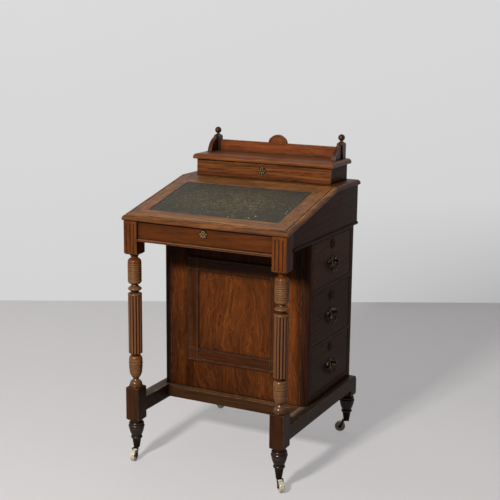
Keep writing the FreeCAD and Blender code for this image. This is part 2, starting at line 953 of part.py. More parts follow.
def pull_plate(label, side, x, y, z):
    """Pierced backplate with two posts for the bail. It is drawn in Y-Z and faces along X."""
    body = new_body(label)
    half, rise = d.plate_width / 2, d.plate_height / 2
    sketch = new_sketch(body, "YZ_Plane")
    waist = rise * 0.42
    outline(sketch, [
        (-half * 0.3, -rise * 0.62, rise * 0.2),
        (half * 0.3, -rise * 0.62, -rise * 0.08),
        (half * 0.62, -waist, rise * 0.2),
        (half, -waist * 0.4, rise * 0.12),
        (half, waist * 0.8, rise * 0.16),
        (half * 0.62, waist * 1.3, -rise * 0.12),
        (half * 0.34, rise * 0.86, rise * 0.2),
        (-half * 0.34, rise * 0.86, -rise * 0.12),
        (-half * 0.62, waist * 1.3, rise * 0.16),
        (-half, waist * 0.8, rise * 0.12),
        (-half, -waist * 0.4, rise * 0.2),
        (-half * 0.62, -waist, -rise * 0.08),
    ])
    pad(body, sketch, d.plate_thickness)
    piercing = new_sketch(body, "YZ_Plane")
    for way in (-1, 1):
        near_edge, far_edge = half * 0.18 * way, half * 0.46 * way
        start, end = (near_edge, far_edge) if way > 0 else (far_edge, near_edge)
        outline(piercing, [
            (start, -rise * 0.3, rise * 0.1),
            (end, -rise * 0.3),
            (end, rise * 0.3, rise * 0.1),
            (start, rise * 0.3),
        ])
    pocket(body, piercing, d.plate_thickness, True)
    posts = new_sketch(body, "YZ_Plane")
    reach = d.bail_stand_off + d.bail_rod + 0.8
    for way in (-1, 1):
        disc(posts, d.post_spacing / 2 * way, 0, d.pull_post_radius)
    pad(body, posts, reach)
    # Each post is drilled for the tip of the bail.
    bores = new_sketch(body, "XZ_Plane", -(d.post_spacing / 2 + 6))
    disc(bores, d.bail_stand_off, 0, d.bail_rod * 0.6 + 0.2)
    pocket(body, bores, d.post_spacing + 12, True)
    turn = 0 if side == RIGHT else 180
    return place(body, x, y, z, Z_AXIS, turn)


def bail(name, side, x, y, z):
    """Bow handle hanging from tips in the two posts."""
    body = new_body(name)
    inner = d.post_spacing / 2 - d.pull_post_radius - d.bail_rod - 0.6
    drop, turn = d.bail_drop, d.bail_turn
    lean = turn * (1 - math.sqrt(0.5))
    path = new_sketch(body, "YZ_Plane", d.bail_stand_off, "Path")
    outline(path, [
        (-inner, 0),
        (-inner, -drop + turn, lean),
        (-inner + turn, -drop),
        (inner - turn, -drop, lean),
        (inner, -drop + turn),
        (inner, 0),
    ], False)
    section = new_sketch(body, "XY_Plane", None, "Section")
    disc(section, d.bail_stand_off, -inner, d.bail_rod)
    pipe = body.newObject("PartDesign::AdditivePipe", "Bow")
    pipe.Profile = section
    pipe.Spine = path
    doc.recompute()
    for way in (-1, 1):
        tip = new_sketch(body, "XZ_Plane", -inner if way > 0 else inner)
        disc(tip, d.bail_stand_off, 0, d.bail_rod * 0.6)
        pad(body, tip, d.bail_rod + d.pull_post_radius + 2, way > 0)
    heading = 0 if side == RIGHT else 180
    return keep(name, place(body, x, y, z, Z_AXIS, heading))


def escutcheon(label, role, x, y, z, turn=0):
    """Shaped plate with a keyhole, drawn upright and facing along its sketch's normal."""
    body = new_body(label)
    half, rise = d.escutcheon_width / 2, d.escutcheon_height / 2
    sketch = new_sketch(body, role)
    outline(sketch, [
        (-half * 0.84, -rise * 0.32, half * 0.16),
        (-half * 0.4, -rise * 0.78, half * 0.28),
        (half * 0.4, -rise * 0.78, half * 0.16),
        (half * 0.84, -rise * 0.32, half * 0.16),
        (half * 0.84, rise * 0.38, half * 0.16),
        (half * 0.4, rise * 0.8, half * 0.28),
        (-half * 0.4, rise * 0.8, half * 0.16),
        (-half * 0.84, rise * 0.38, half * 0.16),
    ])
    pad(body, sketch, d.escutcheon_thickness)
    hole = new_sketch(body, role)
    key, slot = d.key_radius, d.key_slot
    outline(hole, [
        (-key * 0.5, -slot),
        (key * 0.5, -slot),
        (key * 0.6, 0, key * 1.4),
        (-key * 0.6, 0),
    ])
    pocket(body, hole, d.escutcheon_thickness, True)
    return place(body, x, y, z, Z_AXIS, turn)


def rosette(label, y, z):
    """Round keyhole plate with a lobed edge, a raised rim round the hole and a fan of petals below."""
    body = new_body(label)
    reach = d.rosette_radius
    proud = d.escutcheon_thickness + d.rosette_relief

    def around(angle, out, across=0.0):
        turn = math.radians(angle)
        return (reach * (out * math.cos(turn) - across * math.sin(turn)),
                reach * (out * math.sin(turn) + across * math.cos(turn)))

    plate = new_sketch(body, "XZ_Plane")
    outline(plate, [(*around(45 * lobe - 22.5, 0.88), reach * 0.187) for lobe in range(8)])
    pad(body, plate, d.escutcheon_thickness)
    rim = new_sketch(body, "XZ_Plane")
    disc(rim, 0, reach * 0.36, reach * 0.40)
    disc(rim, 0, reach * 0.36, reach * 0.25)
    pad(body, rim, proud)
    petals = new_sketch(body, "XZ_Plane")
    for angle in (180, 225, 270, 315, 360):
        start = 0.52 if angle in (180, 360) else 0.30
        outline(petals, [
            around(angle, start, -0.06),
            (*around(angle, 0.78, -0.13), reach * 0.12),
            around(angle, 0.78, 0.13),
            around(angle, start, 0.06),
        ])
    pad(body, petals, proud)
    holes = new_sketch(body, "XZ_Plane")
    for angle in (202.5, 247.5, 292.5, 337.5, 50, 130):
        disc(holes, *around(angle, 0.66), reach * 0.09)
    pocket(body, holes, proud, True)
    hole = new_sketch(body, "XZ_Plane")
    key, middle = d.key_radius, reach * 0.36
    outline(hole, [
        (-key * 0.42, middle - d.key_slot * 0.62),
        (key * 0.42, middle - d.key_slot * 0.62),
        (key * 0.6, middle, key * 1.4),
        (-key * 0.6, middle),
    ])
    pocket(body, hole, proud, True)
    return place(body, 0, y, z)


def drawers():
    pulls, keyholes, fronts = [], [], []
    face = d.pedestal_half
    for number in DRAWERS:
        bottom, top = drawer_span(number)
        pull_z = (bottom + top) / 2 - d.pull_rise
        key_z = pull_z + d.escutcheon_rise * 0.86
        keep(f"drawer_{number}_front", drawer_face(f"DrawerFront{number}", RIGHT, number))
        keep(f"drawer_{number}_box", group(f"DrawerBox{number}", drawer_box(number)))
        plate = pull_plate(f"Pull{number}", RIGHT, face, d.bay_middle, pull_z)
        keyhole = escutcheon(f"Keyhole{number}", "YZ_Plane", face, d.bay_middle, key_z)
        keep(f"drawer_{number}_fittings", group(f"Fittings{number}", [plate, keyhole]))
        bail(f"drawer_{number}_bail", RIGHT, face, d.bay_middle, pull_z)
        fronts.append(drawer_face(f"DummyFront{number}", LEFT, number))
        pulls.append(pull_plate(f"DummyPull{number}", LEFT, -face, d.bay_middle, pull_z))
        keyholes.append(escutcheon(f"DummyKeyhole{number}", "YZ_Plane", -face, d.bay_middle, key_z, 180))
        bail(f"dummy_{number}_bail", LEFT, -face, d.bay_middle, pull_z)
    keep("dummy_fronts", group("DummyFronts", fronts))
    keep("dummy_pull_plates", group("DummyPullPlates", pulls))
    return keyholes


dummy_keyholes = drawers()


# ---- Butt hinges, in a frame whose X axis is the pin -----------------------------------------

def hinge_leaf(label, moving, x, leaf_low, leaf_high):
    """One leaf with its knuckles. The moving leaf carries the pin."""
    length, knuckle = d.hinge_length, d.knuckle
    step = length / 5
    leaf = doc.addObject("Part::Box", label + "Leaf")
    for prop, name, start, end in zip(("Length", "Width", "Height"), "xyz",
                                      (x - length / 2, leaf_low[0], leaf_low[1]),
                                      (x + length / 2, leaf_high[0], leaf_high[1])):
        bind(leaf, prop, size(end) - start)
        bind(leaf, "Placement.Base." + name, start)
    slots = (0, 2, 4) if moving else (1, 3)
    rolls = [rod(f"{label}Roll{slot}", knuckle, step - 0.4, x - length / 2 + step * slot + 0.2,
                 0, 0, Y_AXIS, 90) for slot in slots]
    clear = [rod(f"{label}Clear{slot}", knuckle + 0.3, step + 0.2, x - length / 2 + step * slot - 0.1,
                 0, 0, Y_AXIS, 90) for slot in range(5) if slot not in slots]
    solid = fuse(label + "Rolled", [cut(label + "Trimmed", leaf, clear)] + rolls)
    bore = knuckle * 0.5
    drilled = cut(label + "Drilled", solid, [rod(label + "Bore", bore + (0 if moving else 0.15), length,
                                                 x - length / 2, 0, 0, Y_AXIS, 90)])
    if not moving:
        return drilled
    return fuse(label, [drilled, rod(label + "Pin", bore, length, x - length / 2, 0, 0, Y_AXIS, 90)])


# ---- Slope case ------------------------------------------------------------------------------

def case_side(name, side):
    back_of_block = d.leg_front + d.block
    start = d.side_in if side == RIGHT else -d.half
    seat = d.hinge_line + d.top_thickness * d.slope_tan + d.fit_gap
    keep(name, profile_bar(name, [
        (back_of_block, d.case_underside),
        (d.case_back, d.case_underside),
        (d.case_back, d.flat_under),
        (seat, d.flat_under),
        (back_of_block, under_flap(back_of_block)),
    ], start, d.case_board))


def apron():
    inner = d.leg_x - d.block / 2
    front = d.leg_front + d.apron_recess
    back = front + d.case_board
    rail = profile_bar("ApronRail", [
        (front, d.apron_bottom),
        (back, d.apron_bottom),
        (back, under_flap(back)),
        (front, under_flap(front)),
    ], -inner, inner * 2)
    bead = d.bead
    strip = profile_bar("ApronBead", [
        (front, d.apron_bottom),
        (front, d.apron_bottom + bead),
        (front - 3, d.apron_bottom + bead, 2),
        (front - 3, d.apron_bottom),
    ], -inner, inner * 2)
    keep("apron_rail", group("ApronBoards", [rail, strip]))


def base_beads():
    """Half-round moulding along the foot of the case on three sides."""
    low, high, proud = d.case_underside, d.case_underside + d.base_bead_height, d.base_bead_proud
    front, back = d.leg_front + d.block, d.case_back
    strips = []
    for label, side in (("BaseBeadLeft", LEFT), ("BaseBeadRight", RIGHT)):
        body = new_body(label)
        sketch = new_sketch(body, "XZ_Plane", -(back + proud))
        edge, lip = d.half * side, (d.half + proud * 0.5) * side
        corners = [(edge, low), (lip, low, proud * 0.5), (lip, high), (edge, high)]
        outline(sketch, corners if side == RIGHT else [(edge, high), (lip, high, proud * 0.5),
                                                       (lip, low), (edge, low)])
        pad(body, sketch, back + proud - front)
        strips.append(body)
    strips.append(profile_bar("BaseBeadBack", [
        (back, low),
        (back + proud * 0.5, low, proud * 0.5),
        (back + proud * 0.5, high),
        (back, high),
    ], -d.half, d.case_width))
    keep("base_beads", group("BaseBeads", strips))


def fixed_top():
    """Flat part of the top behind the flap, with a thumb moulding on its three free edges."""
    body = new_body("FixedTopBoard")
    gap = d.fit_gap
    back = d.case_back + d.overhang
    sketch = new_sketch(body, "YZ_Plane", -d.outer)
    outline(sketch, [
        (d.hinge_line + gap + d.top_thickness * d.slope_tan, d.flat_under),
        (back, d.flat_under),
        (back, d.flat_top),
        (d.hinge_line + gap, d.flat_top),
    ])
    pad(body, sketch, d.outer * 2)

    def edge(p, z):
        return near(p.z, z) and (near(abs(p.x), d.outer) or near(p.y, back))

    fillet(body, d.thumb_radius, lambda p: edge(p, d.flat_top))
    fillet(body, d.thumb_foot, lambda p: edge(p, d.flat_under))
    for side in (LEFT, RIGHT):
        quirk = new_sketch(body, "XZ_Plane", -(back - d.quirk_inset))
        middle = (d.outer - d.quirk_inset - d.quirk_width / 2) * side
        outline(quirk, rectangle(middle - d.quirk_width / 2, d.flat_top - d.quirk_depth,
                                 middle + d.quirk_width / 2, d.flat_top + 1))
        pocket(body, quirk, back - d.quirk_inset - d.hinge_line, True)
    tools = []
    for side in (LEFT, RIGHT):
        x = (d.hinge_x - d.hinge_length / 2 - 0.5) if side == RIGHT else -(d.hinge_x + d.hinge_length / 2 + 0.5)
        seat = doc.addObject("Part::Box", f"FlapSeat{side}")
        for prop, value in (("Length", d.hinge_length + 1), ("Width", d.leaf + gap + 2), ("Height", d.leaf_height)):
            bind(seat, prop, value)
        place(seat, x, d.hinge_line - 2 + d.leaf_height * d.slope_tan,
              d.flat_top - d.leaf_height, X_AXIS, d.slope_angle)
        tools += [seat, rod(f"FlapBarrel{side}", d.knuckle + 0.4, d.hinge_length + 1, x, d.hinge_line,
                            d.flat_top, Y_AXIS, 90)]
    keep("fixed_top", cut("FixedTop", body, tools))


def slope_case():
    case_side("case_side_left", LEFT)
    case_side("case_side_right", RIGHT)
    apron()
    base_beads()
    fixed_top()
    floor = new_body("case_floor")
    between, back_of_block = d.leg_x - d.block / 2, d.leg_front + d.block
    front, back = d.leg_front + d.apron_recess + d.case_board, d.case_back - d.case_board
    sketch = new_sketch(floor, "XY_Plane", d.case_underside)
    outline(sketch, [
        (-between, front), (between, front), (between, back_of_block), (d.side_in, back_of_block),
        (d.side_in, back), (-d.side_in, back), (-d.side_in, back_of_block), (-between, back_of_block),
    ])
    pad(floor, sketch, d.floor_board)
    keep("case_floor", floor)
    keep("case_back", board("CaseBack", (-d.side_in, d.case_back - d.case_board, d.case_underside),
                            (d.side_in, d.case_back, d.flat_under)))


slope_case()


# ---- Writing flap, in its own flat frame with X along the hinge line ---------------------------

def lay_on_slope(thing):
    return place(thing, 0, d.hinge_line, d.flat_top, X_AXIS, d.slope_angle)


def flap_rail(label, corners, moulded):
    """One mitred rail of the frame. The moulded side gets a thumb edge and a quirk."""
    body = new_body(label)
    sketch = new_sketch(body, "XY_Plane", -d.top_thickness)
    outline(sketch, corners)
    pad(body, sketch, d.top_thickness)
    if moulded:
        line, test = moulded
        fillet(body, d.thumb_radius, lambda p: near(p.z, 0) and test(p))
        fillet(body, d.thumb_foot, lambda p: near(p.z, -d.top_thickness) and test(p))
        quirk = new_sketch(body, "XY_Plane")
        outline(quirk, line)
        pocket(body, quirk, d.quirk_depth)
    return lay_on_slope(body)


def flap():
    wide, long_edge, rail, gap = d.outer, -d.slope_length, d.frame_rail, d.fit_gap
    quirk, slit = d.quirk_inset, d.quirk_width
    inner = wide - rail
    front = flap_rail("FlapFrontRail", [
        (-wide, long_edge), (wide, long_edge), (inner, long_edge + rail), (-inner, long_edge + rail),
    ], ([(-wide + quirk, long_edge + quirk), (wide - quirk, long_edge + quirk),
         (wide - quirk - slit, long_edge + quirk + slit), (-wide + quirk + slit, long_edge + quirk + slit)],
        lambda p: near(p.y, long_edge)))
    sides = []
    for label, side in (("FlapLeftRail", LEFT), ("FlapRightRail", RIGHT)):
        edge, inside = wide * side, inner * side
        corners = [(edge, long_edge), (inside, long_edge + rail), (inside, -gap), (edge, -gap)]
        near_line, far_line = (wide - quirk) * side, (wide - quirk - slit) * side
        line = [(near_line, long_edge + quirk), (far_line, long_edge + quirk + slit),
                (far_line, -gap), (near_line, -gap)]
        if side == RIGHT:
            corners.reverse()
            line.reverse()
        sides.append(flap_rail(label, corners, (line, lambda p, edge=edge: near(p.x, edge))))
    back = flap_rail("FlapBackRail", rectangle(-inner, -rail, inner, -gap), None)
    tools = []
    for side in (LEFT, RIGHT):
        x = (d.hinge_x - d.hinge_length / 2 - 0.5) if side == RIGHT else -(d.hinge_x + d.hinge_length / 2 + 0.5)
        low = (x, -d.leaf - gap, -d.leaf_height)
        seat = board(f"FlapMortise{side}", low, (x + d.hinge_length + 1, size(1), size(1)))
        bind(seat, "Placement.Base.x", x)
        barrel = rod(f"FlapRecess{side}", d.knuckle + 0.4, d.hinge_length + 1, x, 0, 0, Y_AXIS, 90)
        tools += [seat, barrel]
    tool = lay_on_slope(group("FlapMortises", tools))
    keep("flap_frame", group("FlapFrame", [front] + sides + [cut("FlapBack", back, [tool])]))
    leather_top = -d.leather_sink
    leather_low = leather_top - d.leather_thickness
    low_y, high_y = long_edge + rail, -rail
    panel = board("FlapPanelBoard", (-inner, low_y, -d.top_thickness), (inner, high_y, leather_low))
    leather = board("LeatherSheet", (-inner, low_y, leather_low), (inner, high_y, leather_top))
    keep("flap_panel", lay_on_slope(group("FlapPanel", [panel])))
    keep("flap_leather", lay_on_slope(group("FlapLeather", [leather])))
    leaf, top, low = d.leaf, 0, -d.leaf_height + 0.4
    moving = [hinge_leaf(f"FlapLeafMoving{side}", True, d.hinge_x * side, (-leaf - 0.2, low), (size(-0.2), size(top)))
              for side in (LEFT, RIGHT)]
    fixed = [hinge_leaf(f"FlapLeafFixed{side}", False, d.hinge_x * side, (size(0.2), low), (leaf + 0.2, size(top)))
             for side in (LEFT, RIGHT)]
    keep("flap_hinge_leaves", lay_on_slope(group("FlapHingeLeaves", moving)))
    return [lay_on_slope(group("FlapHingeSeats", fixed))]


fixed_leaves = flap()


# ---- Stationery box, its lid and the gallery -------------------------------------------------

def stationery_box():
    half, wall, low, high = d.box_half_width, d.box_board, d.flat_top, d.box_top
    front, back = d.box_front, d.box_back
    keep("box_front", board("BoxFront", (-half, front, low), (half, front + wall, high)))
    boards = [board("BoxBack", (-half, back - wall, low), (half, back, high))]
    for label, start in (("BoxLeft", -half), ("BoxRight", half - wall)):
        boards.append(board(label, (start, front + wall, low), (start + wall, back - wall, high)))
    for side in (LEFT, RIGHT):
        middle = half / 3 * side
        boards.append(board(f"Partition{side}", (middle - d.partition / 2, front + wall, low),
                            (middle + d.partition / 2, back - wall, high - 8)))
    keep("box_boards", group("BoxBoards", boards))


def box_lid():
    """Lid board with rounded edges on all sides."""
    over, gap = d.lid_overhang, d.fit_gap
    wide, front, back = d.box_half_width + over, d.box_front - over, d.box_back + over
    body = new_body("box_lid")
    sketch = new_sketch(body, "XY_Plane", d.box_top + gap)
    outline(sketch, rectangle(-wide, front, wide, back))
    pad(body, sketch, d.lid_thickness - gap)

    def edge(p, z):
        return near(p.z, z) and (near(abs(p.x), wide) or near(p.y, front) or near(p.y, back))

    fillet(body, d.lid_round, lambda p: edge(p, d.lid_top))
    fillet(body, d.lid_round * 0.25, lambda p: edge(p, d.box_top + gap))
    keep("box_lid", body)


def gallery_board():
    """Upright board between the posts, with a raised rim round its arched crest."""
    body = new_body("gallery_board")
    half = d.post_x - d.post / 2
    front, radius, rise = d.gallery_line - d.gallery_board / 2, d.crest_radius, d.crest_rise
    low, high = d.lid_top, d.gallery_top
    sketch = new_sketch(body, "XZ_Plane", -(front + d.gallery_board))
    peak = rise - radius * 0.293
    outline(sketch, [
        (-half, low), (half, low), (half, high),
        (radius, high, radius * 0.09),
        (radius * 0.71, high + peak, radius * 0.293),
        (-radius * 0.71, high + peak, radius * 0.09),
        (-radius, high), (-half, high),
    ])
    pad(body, sketch, d.gallery_board)
    sunk = new_sketch(body, "XZ_Plane", -(front + 1.5))
    inner = radius - d.crest_rim
    inner_peak = rise - d.crest_rim - inner * 0.293
    outline(sunk, [
        (-inner, high), (inner, high, inner * 0.09),
        (inner * 0.71, high + inner_peak, inner * 0.293),
        (-inner * 0.71, high + inner_peak, inner * 0.09),
    ])
    pocket(body, sunk, 4, True)
    keep("gallery_board", body)


def gallery_posts():
    """Chamfered posts with a neck and a ball on top."""
    posts = []
    for label, side in (("GalleryPostLeft", LEFT), ("GalleryPostRight", RIGHT)):
        body = new_body(label)
        half = d.post / 2
        sketch = new_sketch(body, "XY_Plane", d.lid_top)
        outline(sketch, rectangle(-half, -half, half, half))
        pad(body, sketch, d.post_top - d.lid_top)
        chamfer(body, d.post_chamfer, lambda p: near(p.z, d.post_top))
        neck, ball = d.ball_radius * 0.42, d.ball_radius
        turning(body, [
            (0, d.post_top - 2),
            (neck + 0.4, d.post_top - 2),
            (neck + 0.4, d.post_top),
            (neck, d.ball_centre - ball * 0.9075, ball * 0.157),
            (ball, d.ball_centre, ball * 0.248),
            (1.2, d.ball_centre + ball * 0.99),
            (0, d.ball_centre + ball),
        ])
        posts.append(place(body, d.post_x * side, d.gallery_line))
    keep("gallery_posts", group("GalleryPosts", posts))


def gallery_brackets():
    """Convex quadrant in front of each post."""
    brackets = []
    back = d.gallery_line - d.post / 2
    for label, side in (("BracketLeft", LEFT), ("BracketRight", RIGHT)):
        front = back - d.bracket_reach
        body = profile_bar(label, [
            (front, d.lid_top),
            (back, d.lid_top),
            (back, d.bracket_top, d.bracket_reach * 0.2),
            (front, d.lid_top + 2),
        ], d.post_x * side - d.bracket_thickness / 2, d.bracket_thickness)
        brackets.append(body)
    keep("gallery_brackets", group("GalleryBrackets", brackets))


def lid_hinges():
    """Hinges behind the box: one leaf on its back board, one under the lid's overhang."""
    pin_y, pin_z = d.box_back + 3.2, d.box_top - 2.8
    leaf = d.leaf
    fixed = [hinge_leaf(f"LidLeafFixed{side}", False, d.hinge_x * side,
                        (d.box_back - pin_y, -d.leaf_height), (d.box_back - pin_y + leaf, size(0)))
             for side in (LEFT, RIGHT)]
    moving = [hinge_leaf(f"LidLeafMoving{side}", True, d.hinge_x * side,
                         (size(0), 2.8 + d.fit_gap - leaf), (d.lid_overhang - 4.4, 2.8 + d.fit_gap))
              for side in (LEFT, RIGHT)]
    keep("lid_hinge_leaves", place(group("LidHingeLeaves", moving), 0, pin_y, pin_z))
    return [place(group("LidHingeSeats", fixed), 0, pin_y, pin_z)]


stationery_box()
box_lid()
gallery_board()
gallery_posts()
gallery_brackets()
fixed_leaves += lid_hinges()
keep("hinge_seats", group("HingeSeats", fixed_leaves))


# ---- Locks and keyholes that stay with the case ----------------------------------------------

def locks():
    apron_front = d.leg_front + d.apron_recess
    apron_z = (d.apron_bottom + d.flat_top - (d.hinge_line - apron_front) * d.slope_tan) / 2 + 4
    box_z = (d.flat_top + d.box_top) / 2 + 1.5
    keyholes = dummy_keyholes + [
        rosette("ApronKeyhole", apron_front, apron_z),
        rosette("BoxKeyhole", d.box_front, box_z),
    ]
    keep("fixed_escutcheons", group("FixedEscutcheons", keyholes))
    wide = d.lock_width / 2
    apron_back = apron_front + d.case_board
    box_in = d.box_front + d.box_board
    keep("locks", group("Locks", [
        board("ApronLock", (-wide, apron_back, apron_z - d.lock_height / 2),
              (wide, apron_back + d.lock_depth, apron_z + d.lock_height / 2)),
        board("BoxLock", (-wide, box_in, box_z - d.lock_height / 2),
              (wide, box_in + d.lock_depth, box_z + d.lock_height / 2)),
    ]))


locks()


# ---- Check and export ------------------------------------------------------------------------

def export():
    doc.recompute()
    for thing in doc.Objects:
        if "Invalid" in thing.State or "Error" in thing.State:
            raise RuntimeError(f"{thing.Label} did not compute")
    os.makedirs("parts", exist_ok=True)
    for name, thing in parts.items():
        shape = thing.Shape
        if shape.isNull() or not shape.isValid() or not shape.Solids:
            raise RuntimeError(f"{name} has no valid solid")
        shape.exportStep(f"parts/{name}.step")
    box = Part.makeCompound([thing.Shape for thing in parts.values()]).BoundBox
    print(len(parts), "nodes", f"x {box.XMin:.1f} {box.XMax:.1f}",
          f"y {box.YMin:.1f} {box.YMax:.1f}", f"z {box.ZMin:.1f} {box.ZMax:.1f}")


export()
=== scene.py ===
import math

import bmesh
import bpy
from mathutils import Matrix, Vector


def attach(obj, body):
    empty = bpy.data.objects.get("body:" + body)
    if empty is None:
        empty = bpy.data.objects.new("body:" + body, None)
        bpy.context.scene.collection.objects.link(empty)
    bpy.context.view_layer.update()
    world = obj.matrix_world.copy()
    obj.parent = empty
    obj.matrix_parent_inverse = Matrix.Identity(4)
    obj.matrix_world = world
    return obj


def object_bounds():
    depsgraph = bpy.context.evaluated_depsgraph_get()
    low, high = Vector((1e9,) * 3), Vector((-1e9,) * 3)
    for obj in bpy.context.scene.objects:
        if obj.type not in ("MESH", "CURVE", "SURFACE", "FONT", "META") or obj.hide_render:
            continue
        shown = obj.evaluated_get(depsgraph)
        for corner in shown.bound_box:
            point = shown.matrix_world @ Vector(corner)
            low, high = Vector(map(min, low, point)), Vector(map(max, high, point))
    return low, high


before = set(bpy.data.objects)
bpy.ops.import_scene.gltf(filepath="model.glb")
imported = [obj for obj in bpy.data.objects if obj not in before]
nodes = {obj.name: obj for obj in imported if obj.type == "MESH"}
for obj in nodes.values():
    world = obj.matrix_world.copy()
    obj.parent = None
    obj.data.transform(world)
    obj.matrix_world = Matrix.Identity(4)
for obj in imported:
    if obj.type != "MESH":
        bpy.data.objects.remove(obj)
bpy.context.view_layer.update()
print("frame loaded:", len(nodes), "nodes")


# Camera and lamps

cameraView = {
    "position": (1.47728, -2.90493, 1.33283),
    "azimuth": 26.74, "down": 12.17, "roll": 0.57, "lens": 78.85, "sensor": 36,
}

lamps = {
    "mainLamp": {"power": 178, "size": 0.42, "place": (-0.15, -3.5, 2.6)},
    "fillLamp": {"power": 6, "size": 1.6, "place": (-2.7, -2.5, 2.3)},
}

studio = {
    "lampColour": (1.0, 0.975, 0.94),
    "aim": (0, -0.05, 0.5),
    "worldColour": (0.84, 0.84, 0.86),
    "worldStrength": 0.10, "beyond": 12, "depth": 16, "top": 9, "floorGap": 0.0002,
}


def addCamera():
    side, down, roll = (math.radians(cameraView[key]) for key in ("azimuth", "down", "roll"))
    ahead = Vector((-math.sin(side) * math.cos(down), math.cos(side) * math.cos(down),
                    -math.sin(down)))
    level = Vector((math.cos(side), math.sin(side), 0))
    over = level.cross(ahead)
    right = level * math.cos(roll) + over * math.sin(roll)
    up = over * math.cos(roll) - level * math.sin(roll)
    camera = bpy.data.objects.new("camera", bpy.data.cameras.new("camera"))
    bpy.context.scene.collection.objects.link(camera)
    camera.data.lens = cameraView["lens"]
    camera.data.sensor_width = cameraView["sensor"]
    turn = Matrix((right, up, -ahead)).transposed().to_4x4()
    camera.matrix_world = Matrix.Translation(cameraView["position"]) @ turn
    bpy.context.scene.camera = camera


def addLamp(name, plan):
    lamp = bpy.data.lights.new(name, "AREA")
    lamp.energy = plan["power"]
    lamp.size = plan["size"]
    lamp.color = studio["lampColour"]
    holder = bpy.data.objects.new(name, lamp)
    bpy.context.scene.collection.objects.link(holder)
    holder.location = plan["place"]
    toward = Vector(studio["aim"]) - Vector(plan["place"])
    holder.rotation_euler = toward.to_track_quat("-Z", "Y").to_euler()


# Shader graphs: a wire wraps one socket, so sums on values read as plain maths

class Wire:
    def __init__(self, graph, socket):
        self.graph = graph
        self.socket = socket

    def out(self, name):
        # another output of the same node
        return Wire(self.graph, self.socket.node.outputs[name])

    def maths(self, operation, *others, clamp=False):
        return self.graph.node("Math", dict(enumerate((self,) + others)), operation=operation,
                               use_clamp=clamp)

    def __add__(self, other):
        return self.maths("ADD", other)

    __radd__ = __add__

    def __sub__(self, other):
        return self.maths("SUBTRACT", other)

    def __rsub__(self, other):
        return self.graph.node("Math", {0: other, 1: self}, operation="SUBTRACT")

    def __mul__(self, other):
        return self.maths("MULTIPLY", other)

    __rmul__ = __mul__

    def __gt__(self, other):
        return self.maths("GREATER_THAN", other)

    def __lt__(self, other):
        return self.maths("LESS_THAN", other)

    def clamped(self):
        return self.maths("ADD", 0, clamp=True)

    def root(self):
        return self.maths("POWER", 0.5)

    def size(self):
        return self.maths("ABSOLUTE")


shaderSamples = 4


